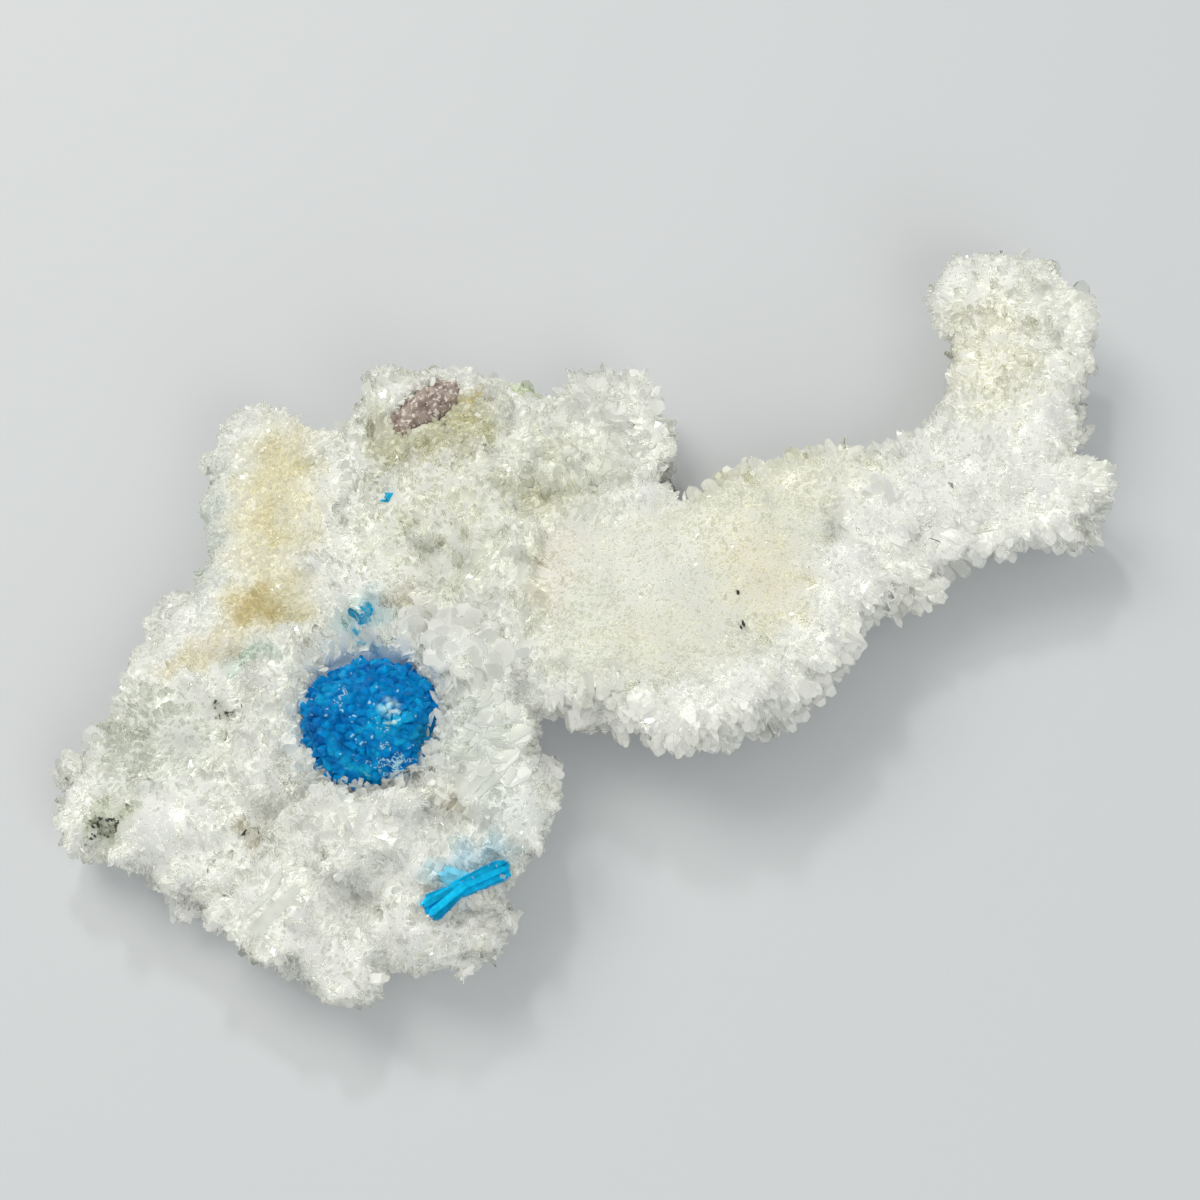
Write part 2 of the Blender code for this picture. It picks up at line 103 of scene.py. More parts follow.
# %% Colour and node helpers
def linear(code):
    """An sRGB hex colour as linear red, green and blue."""
    parts = [int(code[i : i + 2], 16) / 255 for i in (1, 3, 5)]
    return [p / 12.92 if p <= 0.04045 else ((p + 0.055) / 1.055) ** 2.4 for p in parts]


def rgba(code):
    return (*linear(code), 1.0)


def add(tree, kind, settings=None, **sockets):
    """A new node: `settings` are its own properties, the rest are values or links."""
    node = tree.nodes.new(kind)
    for name, value in (settings or {}).items():
        setattr(node, name, value)
    for name, value in sockets.items():
        key = int(name[1:]) if name[0] == "_" and name[1:].isdigit() else name.replace("_", " ")
        if isinstance(value, bpy.types.NodeSocket):
            tree.links.new(value, node.inputs[key])
        else:
            node.inputs[key].default_value = value
    return node


def new_material(name):
    """A material with only its Principled shader and its output."""
    material = bpy.data.materials.new(name)
    material.use_nodes = True
    tree = material.node_tree
    return material, tree, tree.nodes["Principled BSDF"]


# %% [markdown]
# The specimen lies on a plain pale floor. A large soft light from the upper left gives the
# gentle shading of the photo, and a smaller one makes the crystal faces glint. A weak light
# from the right keeps the shadow side open.

# %% Floor and lights
floor_bm = bmesh.new()
bmesh.ops.create_grid(floor_bm, x_segments=2, y_segments=2, size=1.2)
floor_mesh = bpy.data.meshes.new("floor")
floor_bm.to_mesh(floor_mesh)
floor_bm.free()
floor = bpy.data.objects.new("floor", floor_mesh)
bpy.context.scene.collection.objects.link(floor)
floor_paint, floor_tree, floor_shader = new_material("pale_floor")
floor_shader.inputs["Base Color"].default_value = rgba("#DDE0E2")
floor_shader.inputs["Roughness"].default_value = 0.6
floor_mesh.materials.append(floor_paint)


def add_light(name, where, size, watts, colour):
    """A square area light that looks at the middle of the specimen."""
    data = bpy.data.lights.new(name, "AREA")
    data.size = size
    data.energy = watts
    data.color = linear(colour)
    made = bpy.data.objects.new(name, data)
    made.location = where
    made.rotation_euler = (Vector((0, 0, 0.005)) - Vector(where)).to_track_quat("-Z", "Y").to_euler()
    bpy.context.scene.collection.objects.link(made)


add_light("window", (-0.30, 0.26, 0.42), 0.30, 1.1, "#FFFDF8")
add_light("glint", (-0.10, 0.42, 0.40), 0.06, 0.45, "#FFFFFF")
add_light("fill", (0.22, -0.42, 0.36), 0.40, 1.0, "#FBFCFF")
world = bpy.data.worlds.new("studio")
world.use_nodes = True
world.node_tree.nodes["Background"].inputs["Color"].default_value = rgba("#EAEBE8")
world.node_tree.nodes["Background"].inputs["Strength"].default_value = 0.53
bpy.context.scene.world = world
bpy.context.scene.view_settings.view_transform = "Standard"

# %% [markdown]
# The crust isn't the same everywhere. Named areas, drawn as outlines or round patches in
# millimetres, say where it is fine or coarse and where it is stained. Each returns a soft
# weight from 0 to 1, so nothing starts with a hard line.


# %% Areas of the crust
def inside(outline, x, y, soft):
    """Weight of points inside an outline, fading over `soft` millimetres at its edge."""
    corners = np.array(outline, float)
    ends = np.roll(corners, -1, axis=0)
    nearest = np.full(x.shape, 1e9)
    crossed = np.zeros(x.shape, bool)
    for (ax, ay), (bx, by) in zip(corners, ends):
        dx, dy = bx - ax, by - ay
        t = np.clip(((x - ax) * dx + (y - ay) * dy) / (dx * dx + dy * dy), 0, 1)
        nearest = np.minimum(nearest, np.hypot(x - ax - t * dx, y - ay - t * dy))
        if ay != by:
            hit = ((ay > y) != (by > y)) & (x < (bx - ax) * (y - ay) / (by - ay) + ax)
            crossed ^= hit
    signed = np.where(crossed, nearest, -nearest)
    return np.clip(signed / soft + 0.5, 0, 1)


def patch(x, y, cx, cy, rx, ry, turn=0.0):
    """Weight of an oval patch: 1 in its middle, 0 past its edge."""
    c, s = math.cos(math.radians(turn)), math.sin(math.radians(turn))
    u = ((x - cx) * c + (y - cy) * s) / rx
    v = (-(x - cx) * s + (y - cy) * c) / ry
    return np.clip(1.6 - 1.6 * np.hypot(u, v), 0, 1)


PLATEAU = [
    (-6.0, 3.6), (-3.4, 5.8), (0.0, 6.6), (6.0, 8.0), (12.0, 9.8), (16.5, 10.6), (17.8, 7.6),
    (17.2, 3.0), (15.8, -2.0), (12.6, -5.6), (8.0, -7.6), (0.0, -8.4), (-4.4, -6.6), (-6.2, -2.0),
]
STRIPE = [
    (-30.6, 15.6), (-26.2, 17.2), (-22.8, 13.0), (-23.0, 4.0), (-22.0, -1.6),
    (-25.6, -4.8), (-31.0, -5.4), (-31.6, -1.0), (-29.8, 6.0),
]
FLANK = [
    (-38.0, 20.0), (-26.6, 20.0), (-27.0, 14.0), (-28.0, 4.0), (-29.0, -2.0), (-31.0, -6.4), (-38.0, -6.4),
]
ARM_AREA = [
    (-4.0, 6.0), (8.0, 10.0), (18.0, 13.0), (26.0, 17.0), (25.0, 34.0), (44.0, 34.0), (44.0, 4.0),
    (32.0, 2.0), (22.0, -5.0), (14.0, -12.0), (2.0, -14.0), (-4.0, -9.0),
]
BALL = (-17.8, -11.0)
ROCK = (-14.2, 15.4)
SHEAF = (-9.9, -24.2)


def plateau(x, y, z):
    return inside(PLATEAU, x, y, 1.0) * (z > 7.5)


def stripe(x, y, z):
    return inside(STRIPE, x, y, 1.6) * (z > 5.0)


print("areas: plateau, stripe, ball, rock, sheaf")

# %% [markdown]
# Stilbite is white only in bulk: here it is cream, there grey, and tan where clay has stained
# it. These stains are a short list of oval patches with a colour and a strength, mixed in
# order. They are stored on the mesh as a colour attribute, so crust and crystals agree.

# %% Stains
WHITE = "#F8F9F4"
CREAM = "#F2F3E8"
STAINS = [
    (-13.0, 5.0, 8.0, 8.0, 20, "#F0F1E6", 0.8), (-4.0, 10.0, 8.0, 7.0, 20, "#F3F4EA", 0.7),
    (12.6, 1.6, 4.6, 6.8, 24, "#F4F1DC", 0.8), (4.6, -3.6, 6.0, 3.0, 5, "#F2F1E0", 0.5),
    (14.0, 9.0, 12.0, 5.0, 18, "#F3F3E4", 0.7), (32.5, 22.0, 5.5, 9.0, 5, "#F5F4E6", 0.6),
    (-3.5, 2.0, 2.4, 6.0, -8, "#F0E8DC", 0.4), (-5.0, 8.6, 4.0, 2.6, 10, "#E6E6D4", 0.7),
    (-9.0, -12.0, 3.6, 7.0, 10, "#EBEEE9", 0.8), (-7.0, -19.0, 4.0, 4.0, 0, "#EDF0EC", 0.8),
    (-26.4, 7.4, 4.8, 10.6, -6, "#F6F3DD", 0.9), (-26.0, 11.4, 2.4, 4.4, -4, "#F2ECCC", 0.6),
    (-26.6, 5.6, 1.2, 3.4, 10, "#F0E9C4", 0.6), (-26.6, -1.0, 5.0, 3.2, 20, "#F2EDD0", 0.9),
    (-27.6, -1.2, 3.2, 1.7, 28, "#DDD09E", 0.8), (-31.4, -5.0, 4.6, 1.7, 26, "#F2EDD6", 0.8),
    (-31.8, 6.0, 2.2, 9.0, 0, "#E6EAE4", 0.8), (-27.4, -5.6, 2.8, 1.3, 10, "#DCE9DF", 0.7),
    (-18.4, -2.9, 2.8, 2.6, 0, "#D8EDEF", 0.7), (-12.6, 13.6, 6.0, 3.4, 20, "#E6E5CB", 0.9),
    (-17.0, 12.6, 2.6, 3.0, 0, "#DFDFC8", 0.7), (-10.6, 16.6, 1.2, 0.9, 20, "#E4DAA8", 0.7),
    (-6.6, 19.0, 1.6, 1.2, 0, "#D6E0BC", 0.6), (-37.8, -18.4, 3.2, 2.4, 20, "#E4E7DA", 0.9),
    (-38.4, -18.9, 1.5, 0.9, 20, "#A4AA96", 0.9), (-29.4, -9.6, 1.5, 0.9, 10, "#C6C8BA", 0.7),
    (-21.0, -2.8, 1.0, 0.8, 0, "#C2C2B0", 0.7), (-26.7, -19.3, 1.8, 1.5, 0, "#D8D5C6", 0.8),
    (-15.1, -1.7, 2.0, 2.6, 0, "#E0DED2", 0.8), (-11.6, -17.6, 1.5, 1.2, 0, "#DEDACB", 0.7),
    (-17.8, -11.0, 7.6, 7.4, 0, "#E8F1F4", 0.5), (-10.0, -22.9, 4.4, 2.2, 25, "#D0EAF4", 0.7),
    (-34.4, -12.4, 6.6, 6.0, 0, "#E2E5DC", 0.8), (-18.2, -4.3, 0.7, 1.5, 14, "#3CB8DC", 1.0),
]


def stained(points):
    """Linear colour of the crust at each point."""
    x, y, z = photo_mm(points).T
    x, y = x + 0.5 * np.sin(1.9 * y + z), y + 0.5 * np.sin(2.3 * x - z)
    colour = np.tile(np.array(linear(WHITE)), (len(x), 1))
    flat_top = (inside(PLATEAU, x, y, 2.6) * (z > 7.5))[:, None]
    colour = colour * (1 - flat_top) + np.array(linear(CREAM)) * flat_top
    for cx, cy, rx, ry, turn, code, strength in STAINS:
        weight = (patch(x, y, cx, cy, rx, ry, turn) * strength)[:, None]
        weight = weight * np.clip((z - 1.5) / 3, 0, 1)[:, None]
        colour = colour * (1 - weight) + np.array(linear(code)) * weight
    return colour


def store_colour(mesh, colours):
    layer = mesh.color_attributes.new("stain", "FLOAT_COLOR", "POINT")
    rows = np.ones((len(colours), 4), np.float32)
    rows[:, :3] = colours
    layer.data.foreach_set("color", rows.ravel())


print(len(STAINS), "stains")

# %% [markdown]
# Stilbite is a hydrated zeolite with a glassy to pearly shine and an index of refraction near
# 1.5. In a crust the small crystals are full of cleavage cracks, so light enters, scatters
# and comes out softly a millimetre away. Here its subsurface share is left at zero, and plain
# transmission stands in: none on the sugary crust, a quarter on the fine crystals and two
# thirds on the milky ones. The crystals that are clear get nearly full transmission instead.


# %% Stilbite materials
def stilbite(name, rough, clear, cloud, radius, bump_mm, grain_mm):
    """A stilbite finish. `cloud` is its subsurface share and `radius` its reach in metres."""
    material, tree, shader = new_material(name)
    stain = add(tree, "ShaderNodeAttribute", {"attribute_name": "stain"})
    where = add(tree, "ShaderNodeTexCoord")
    haze = add(tree, "ShaderNodeTexNoise", Vector=where.outputs["Object"], Scale=1 / (2.2 * MM), Detail=3.0)
    tone = add(tree, "ShaderNodeMapRange", Value=haze.outputs["Fac"], From_Min=0.3, From_Max=0.7, To_Min=0.93, To_Max=1.0)
    colour = add(tree, "ShaderNodeMix", {"data_type": "RGBA", "blend_type": "MULTIPLY"}, _0=1.0, _6=stain.outputs["Color"], _7=tone.outputs["Result"])
    grain = add(tree, "ShaderNodeTexNoise", Vector=where.outputs["Object"], Scale=1 / (grain_mm * MM), Detail=2.0)
    bump = add(tree, "ShaderNodeBump", Strength=0.5, Distance=bump_mm * MM, Height=grain.outputs["Fac"])
    tree.links.new(colour.outputs[2], shader.inputs["Base Color"])
    tree.links.new(bump.outputs["Normal"], shader.inputs["Normal"])
    shader.inputs["Roughness"].default_value = rough
    shader.inputs["IOR"].default_value = 1.5
    shader.inputs["Transmission Weight"].default_value = clear
    shader.inputs["Subsurface Weight"].default_value = cloud
    shader.inputs["Subsurface Radius"].default_value = (1.0, 0.96, 0.9)
    shader.inputs["Subsurface Scale"].default_value = radius
    return material


crust_finish = stilbite("stilbite_sugary_crust", 0.45, 0.0, 0.0, 1.0 * MM, 0.12, 0.45)
fine_finish = stilbite("stilbite_fine_crystal", 0.14, 0.25, 0.0, 1.0 * MM, 0.02, 0.5)
milky_finish = stilbite("stilbite_milky_crystal", 0.1, 0.65, 0.0, 1.0 * MM, 0.02, 0.5)
clear_finish = stilbite("stilbite_clear_crystal", 0.05, 0.95, 0.0, 0.5 * MM, 0.01, 0.6)
print("materials:", [m.name for m in bpy.data.materials])

# %% [markdown]
# The two stilbite solids have a narrow gap between them, because separate solids must not
# touch. On the real piece the arm has grown out of the body. So copies of both are joined
# with a few lumps over the fork and in the hollows round the ball, and a voxel remesh fuses them to one skin. A little noise along
# the normals roughens it, which the crystals need between them.


# %% Crust skin
def merged_copy(node):
    """A clean copy of a CAD node's mesh, with its loose triangles joined."""
    bm = bmesh.new()
    bm.from_mesh(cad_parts[node].data)
    bmesh.ops.remove_doubles(bm, verts=bm.verts, dist=1e-6)
    return bm


def finish_piece(bm_or_mesh, name, material, replaced=()):
    """Links a piece, gives it its finish and lets it ride on the part."""
    if isinstance(bm_or_mesh, bmesh.types.BMesh):
        mesh = bpy.data.meshes.new(name)
        bm_or_mesh.to_mesh(mesh)
        bm_or_mesh.free()
    else:
        mesh = bm_or_mesh
    piece = bpy.data.objects.new(name, mesh)
    bpy.context.scene.collection.objects.link(piece)
    piece.visible_shadow = material not in (fine_finish, milky_finish, clear_finish)
    mesh.materials.clear()
    mesh.materials.append(material)
    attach(piece, "root")
    for node in replaced:
        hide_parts(node)
    return piece


def worked_out(piece):
    """The piece's modifiers applied to its mesh."""
    graph = bpy.context.evaluated_depsgraph_get()
    mesh = bpy.data.meshes.new_from_object(piece.evaluated_get(graph))
    piece.modifiers.clear()
    piece.data = mesh
    return mesh


skin_bm = merged_copy("stilbite_body")
arm_bm = merged_copy("stilbite_arm")
arm_mesh = bpy.data.meshes.new("arm_copy")
arm_bm.to_mesh(arm_mesh)
arm_bm.free()
skin_bm.from_mesh(arm_mesh)
for x, y, z, a, b, c, turn in (
    (-4.6, -1.0, 7.0, 2.4, 7.0, 2.3, 0), (2.6, 8.9, 6.2, 4.2, 1.6, 2.2, 8), (-2.6, 7.4, 6.8, 3.0, 2.0, 2.0, 20),
    (-3.6, -8.2, 6.6, 2.6, 2.0, 2.4, 0),
    (-23.8, -14.8, 6.2, 3.2, 2.6, 2.8, -20), (-18.6, -17.9, 6.6, 5.4, 1.5, 2.6, 0),
    (-22.0, -4.8, 7.0, 3.2, 2.2, 2.8, 0), (-11.4, -12.0, 6.6, 1.9, 4.0, 2.8, 0), (-13.4, -16.4, 6.6, 2.4, 1.8, 2.6, 0), (-14.0, -2.0, 7.4, 3.0, 2.2, 2.4, 0), (-13.4, 3.0, 7.8, 4.6, 3.8, 3.0, 0), (-39.2, -12.2, 4.2, 1.8, 2.4, 2.8, 0),
    (-11.0, -0.4, 7.6, 2.4, 2.2, 2.6, 0), (-15.8, 4.4, 7.8, 2.2, 2.2, 2.4, 0),
    (-17.8, -11.0, 5.0, 7.4, 7.2, 4.2, 0), (-17.8, -4.4, 6.5, 5.2, 2.0, 3.2, 0),
):
    turned = Matrix.Rotation(math.radians(turn), 4, "Z") @ Matrix.Diagonal((a * MM, b * MM, c * MM, 1))
    bmesh.ops.create_icosphere(skin_bm, subdivisions=3, radius=1.0, matrix=Matrix.Translation(place(x, y, z)) @ turned)
skin = finish_piece(skin_bm, "stilbite_crust", crust_finish, ["stilbite_body", "stilbite_arm"])
step = skin.modifiers.new("fuse", "REMESH")
step.mode = "VOXEL"
step.voxel_size = 0.42 * MM
step = skin.modifiers.new("soften", "SMOOTH")
step.iterations = 3
skin_mesh = worked_out(skin)
print("crust skin:", len(skin_mesh.polygons), "faces")


# %% Rough the crust
def mesh_points(mesh):
    points = np.empty(len(mesh.vertices) * 3, np.float32)
    mesh.vertices.foreach_get("co", points)
    return points.reshape(-1, 3).astype(float)


def vertex_normals(mesh):
    normals = np.empty(len(mesh.vertices) * 3, np.float32)
    mesh.vertices.foreach_get("normal", normals)
    return normals.reshape(-1, 3).astype(float)


def surface_of(mesh):
    """Corners, normals and areas of a mesh's triangles."""
    mesh.calc_loop_triangles()
    index = np.empty(len(mesh.loop_triangles) * 3, np.int32)
    mesh.loop_triangles.foreach_get("vertices", index)
    corners = mesh_points(mesh)[index.reshape(-1, 3)]
    cross = np.cross(corners[:, 1] - corners[:, 0], corners[:, 2] - corners[:, 0])
    size = np.linalg.norm(cross, axis=1)
    return corners, cross / np.maximum(size, 1e-20)[:, None], size / 2


def pick(surface, density, seed):
    """Seeded spots on a surface: `density` is crystals to a square millimetre at each face."""
    corners, normals, areas = surface
    rng = np.random.default_rng(seed)
    expected = areas / MM**2 * density
    count = rng.poisson(expected)
    faces = np.repeat(np.arange(len(count)), count)
    r = np.sqrt(rng.random(len(faces)))[:, None]
    t = rng.random(len(faces))[:, None]
    a, b, c = (corners[faces, k] for k in range(3))
    return a * (1 - r) + b * (r * (1 - t)) + c * (r * t), normals[faces], rng


def waves(points, size_mm, seed):
    """Cheap smooth noise from -1 to 1: a few sine waves with random directions."""
    rng = np.random.default_rng(seed)
    total = np.zeros(len(points))
    for _ in range(7):
        way = rng.normal(size=3)
        way = way / np.linalg.norm(way) * 2 * math.pi / (size_mm * MM * rng.uniform(0.7, 1.4))
        total += np.sin(points @ way + rng.uniform(0, 6.28))
    return total / 3.5


print("skin area in square mm:", round(float(surface_of(skin_mesh)[2].sum() / MM**2)))

# %% [markdown]
# Stilbite grows in sheaves: blades fan out from one root, and many such fans side by side make
# the lumpy look of the crust. Roots are scattered over the skin, a few millimetres apart. The
# skin swells over each root here, and later every crystal leans away from its own root.

# %% Lobes
LOBE_GAP = 4.0
LOBE_REACH = 3.2
QUIET = [(*BALL, 6.6, 6.6, 0), (*ROCK, 5.0, 3.4, 41), (*SHEAF, 5.6, 2.6, 25), (-18.0, 8.0, 2.0, 2.0, 0), (-18.2, -1.8, 2.4, 2.4, 0), (-6.5, 4.9, 1.6, 1.6, 0)]


def scattered(spots, gap):
    """The first of the spots that keep a distance of `gap` metres from each other."""
    kept = spots[:1]
    chosen = [0]
    for i, spot in enumerate(spots):
        if np.min(((kept - spot) ** 2).sum(1)) > gap * gap:
            kept = np.vstack([kept, spot])
            chosen.append(i)
    return chosen


spots, ups, rng = pick(surface_of(skin_mesh), 0.7, 12)
order = rng.permutation(len(spots))
chosen = order[scattered(spots[order], LOBE_GAP * MM)]
lobe_top, lobe_up = spots[chosen], ups[chosen]
lobe_root = lobe_top - lobe_up * 2.8 * MM
lobe_high = rng.uniform(0.3, 0.95, len(chosen))
lobe_size = rng.uniform(0.75, 1.2, len(chosen))
lobe_side = rng.normal(size=lobe_up.shape)
lobe_tree = KDTree(len(chosen))
for i, spot in enumerate(lobe_top):
    lobe_tree.insert(spot, i)
lobe_tree.balance()


def nearest_lobe(points):
    """For each point the number of its lobe and the distance to its top, in mm."""
    found = [lobe_tree.find(point)[1:] for point in points]
    return np.array([f[0] for f in found]), np.array([f[1] for f in found]) / MM


def quiet_weight(x, y):
    """1 where the crust must stay low: at the blue crystals and the rock."""
    return np.max([patch(x, y, *area) for area in QUIET], axis=0)


OUTLINE_MM = [
    (-42.9, -13.4, 2.6, -1.8), (-42.1, -16.1, 2.2, -0.8), (-39.5, -7.2, 2.0, -1.2), (-32.3, -25.3, 2.2, -1.2),
    (-27.5, -28.5, 2.6, -0.9), (-22.0, -32.3, 2.8, -0.8), (-9.9, -30.7, 2.4, -1.0), (-6.2, -24.7, 2.2, -1.4),
    (-3.9, -20.1, 2.2, -0.5), (-3.4, -16.1, 2.4, -0.4), (-1.8, -9.2, 2.8, -2.2), (1.6, -10.9, 2.6, -0.9),
    (6.4, 17.3, 2.4, -1.5), (0.8, 22.9, 3.0, -0.9), (-19.0, 21.8, 2.2, -0.9), (-11.0, 21.9, 2.6, -0.9),
    (-33.4, 14.0, 1.8, -1.0), (-33.2, 3.9, 2.0, -1.0), (41.4, 7.5, 2.2, -1.5), (42.1, 13.5, 2.0, -0.9),
    (40.9, 18.3, 2.2, -1.1), (20.0, 15.2, 2.6, -0.6), (29.3, 29.0, 3.2, 1.0), (29.9, 24.5, 2.2, 0.6), (42.2, 27.0, 2.6, 0.3), (40.5, 21.5, 2.2, 0.6),
    (-35.0, 0.6, 2.0, 1.3), (-37.9, -3.3, 1.8, 0.8), (-40.0, -19.7, 2.0, 0.9), (24.4, -0.8, 2.4, -0.9),
    (-5.0, 19.4, 2.4, 0.8), (-15.2, 22.9, 2.2, 0.5), (16.3, -7.9, 2.2, 0.3), (12.9, 14.0, 2.6, 0.7),
    (22.2, -0.4, 1.8, 0.6), (-17.8, -31.6, 1.8, 0.9), (42.3, 11.0, 1.6, 0.6),
]
points = mesh_points(skin_mesh)
normals = vertex_normals(skin_mesh)
px, py, pz = photo_mm(points).T
sideways = np.clip(1.3 - np.abs(normals[:, 2]), 0, 1)
widen = sum(mm * patch(px, py, x, y, 1.3 * reach, 1.3 * reach) for x, y, reach, mm in OUTLINE_MM)
on_finger = inside([(-33.0, 18.0), (-24.0, 18.0), (-21.5, 2.0), (-24.0, -4.0), (-34.0, -4.0)], px, py, 3.0)
softer = 1 - np.maximum(0.7 * on_finger, 0.6 * inside(ARM_AREA, px, py, 2.0))
calm = np.maximum.reduce([0.95 * plateau(px, py, pz), 0.75 * stripe(px, py, pz), np.clip(2 * quiet_weight(px, py), 0, 1)])
shifted = points + (np.stack([waves(points, 2.5, s) for s in (14, 15, 16)], axis=1) * 0.3 * MM)
lobe, far = nearest_lobe(shifted)
dome = np.clip(1 - (far / LOBE_REACH) ** 2, -0.15, 1) * lobe_high[lobe]
rough = (0.9 * dome - 0.2) * (1 - calm) * softer + (0.10 * waves(points, 1.6, 1) + 0.06 * waves(points, 0.8, 2)) * (1 - 0.7 * calm)
rough = np.where(pz < 0.3, 0.0, np.minimum(rough * np.clip(pz / 2, 0, 1), 13.0 - pz))
lip = 0.6 * np.clip(1 - pz / 1.4, 0, 1)
points = points + normals * ((rough + (widen - 0.1 - lip) * sideways) * MM)[:, None]
points[:, 2] = np.maximum(points[:, 2], 0)
skin_mesh.vertices.foreach_set("co", points.astype(np.float32).ravel())
skin_mesh.update()
store_colour(skin_mesh, stained(points))
for face in skin_mesh.polygons:
    face.use_smooth = True
print(len(chosen), "lobes, crust raised by up to", round(float(rough.max()), 2), "mm")

# %% [markdown]
# A stilbite crystal is a flat blade that tapers to a blunt chisel. One blade is shaped from a
# cube with bmesh operators, and one smaller, pointed grain. Thousands of copies are then
# placed as arrays and joined in a few meshes, because single objects would be far too slow.


# %% Crystal shapes
def crystal_shape(tip_width, tip_thick, shoulder):
    """Corners and triangles of one crystal: 1 wide, 1 thick and 1 long, open at its foot."""
    bm = bmesh.new()
    bmesh.ops.create_cube(bm, size=1.0)
    bmesh.ops.translate(bm, verts=bm.verts, vec=(0, 0, 0.5))
    foot = min(bm.faces, key=lambda f: f.calc_center_median().z)
    bmesh.ops.delete(bm, geom=[foot], context="FACES_ONLY")
    bmesh.ops.scale(bm, verts=bm.verts, vec=(1, 1, shoulder))
    top = max(bm.faces, key=lambda f: f.calc_center_median().z)
    pushed = bmesh.ops.extrude_face_region(bm, geom=[top])
    tip = [v for v in pushed["geom"] if isinstance(v, bmesh.types.BMVert)]
    bmesh.ops.delete(bm, geom=[top], context="FACES_ONLY")
    bmesh.ops.translate(bm, verts=tip, vec=(0, 0, 1 - shoulder))
    bmesh.ops.scale(bm, verts=tip, vec=(tip_width, tip_thick, 1))
    bmesh.ops.remove_doubles(bm, verts=bm.verts, dist=1e-4)
    bmesh.ops.triangulate(bm, faces=bm.faces)
    bm.verts.ensure_lookup_table()
    corners = np.array([v.co for v in bm.verts])
    triangles = np.array([[v.index for v in f.verts] for f in bm.faces])
    bm.free()
    return corners, triangles


BLADE = crystal_shape(0.5, 0.0, 0.76)
GRAIN = crystal_shape(0.5, 0.0, 0.66)
PLATE = crystal_shape(0.6, 0.5, 0.86)
PRISM = crystal_shape(0.5, 0.45, 0.88)
CUSP = crystal_shape(0.35, 0.3, 0.72)
print("blade", len(BLADE[1]), "grain", len(GRAIN[1]), "prism", len(PRISM[1]), "triangles")


# %% Growing crystals as arrays
def frames(along, rng, wide=None):
    """Turns for crystals that stand along `along`, with their wide side random or given."""
    up = along / np.linalg.norm(along, axis=1)[:, None]
    side = rng.normal(size=up.shape) if wide is None else wide
    side = side - up * (side * up).sum(1)[:, None]
    side = side / np.maximum(np.linalg.norm(side, axis=1), 1e-9)[:, None]
    return np.stack([side, np.cross(up, side), up], axis=2)


def grow(name, shape, spots, turns, sizes, material, colours=None, shade=0.06, seed=0):
    """Joins one copy of the shape for each spot. `sizes` are width, thickness, length in mm."""
    corners, triangles = shape
    count = len(spots)
    scaled = corners[None] * (sizes * MM)[:, None, :]
    verts = np.einsum("nij,nkj->nki", turns, scaled) + spots[:, None, :]
    fits = (verts[:, :, 2].min(1) > 0.02 * MM) & (verts[:, :, 2].max(1) < 13.95 * MM)
    verts, spots, count = verts[fits], spots[fits], int(fits.sum())
    faces = triangles[None] + (np.arange(count) * len(corners))[:, None, None]
    mesh = bpy.data.meshes.new(name)
    mesh.vertices.add(count * len(corners))
    mesh.vertices.foreach_set("co", verts.astype(np.float32).ravel())
    total = count * len(triangles)
    mesh.loops.add(total * 3)
    mesh.loops.foreach_set("vertex_index", faces.astype(np.int32).ravel())
    mesh.polygons.add(total)
    mesh.polygons.foreach_set("loop_start", np.arange(0, total * 3, 3, dtype=np.int32))
    mesh.polygons.foreach_set("use_smooth", np.zeros(total, bool))
    mesh.update(calc_edges=True)
    colours = stained(spots) if colours is None else colours[fits]
    rng = np.random.default_rng(seed + 77)
    colours = colours * (1 + shade * rng.uniform(-1, 0.6, size=(count, 1)))
    store_colour(mesh, np.repeat(np.clip(colours, 0, 1), len(corners), axis=0))
    print(name, count, "crystals,", total, "triangles")
    return finish_piece(mesh, name, material)


skin_surface = surface_of(skin_mesh)
mid = photo_mm(skin_surface[0].mean(axis=1))
mx, my, mz = mid.T
nz = skin_surface[1][:, 2]
on_arm = (mx > -4.2) & (my < 8.6 + 0.25 * (mx - 0)) & (my > -14) & ~((mx < 7.0) & (my > 9.2))
off_base = (mz > 0.3) & (nz > -0.9)
at_ball = patch(mx, my, *BALL, 6.6, 6.6) > 0.03
at_rock = patch(mx, my, *ROCK, 4.6, 2.9, 41) > 0.05
at_sheaf = patch(mx, my, *SHEAF, 5.4, 1.9, 25) > 0.4
at_fleck = np.zeros(len(mx), bool)
for node in ("cavansite_fleck_1", "cavansite_fleck_2", "cavansite_fleck_3"):
    low, high = (photo_mm([corner])[0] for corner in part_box(node))
    reach = (high[:2] - low[:2]) / 2 + 0.35
    at_fleck |= np.hypot((mx - (low[0] + high[0]) / 2) / reach[0], (my - (low[1] + high[1]) / 2) / reach[1]) < 1
bare = at_ball | at_rock | at_sheaf | at_fleck
print("skin area in square mm:", round(float(skin_surface[2].sum() / MM**2)))
print("arm share of the skin:", round(float(skin_surface[2][on_arm].sum() / skin_surface[2].sum()), 2))

# %% [markdown]
# In a crust the crystals are packed side by side, so mostly their tips show. Each crystal is
# therefore sunk until only its tip stands out, and a layer of fine ones closes the gaps
# between the coarse ones.


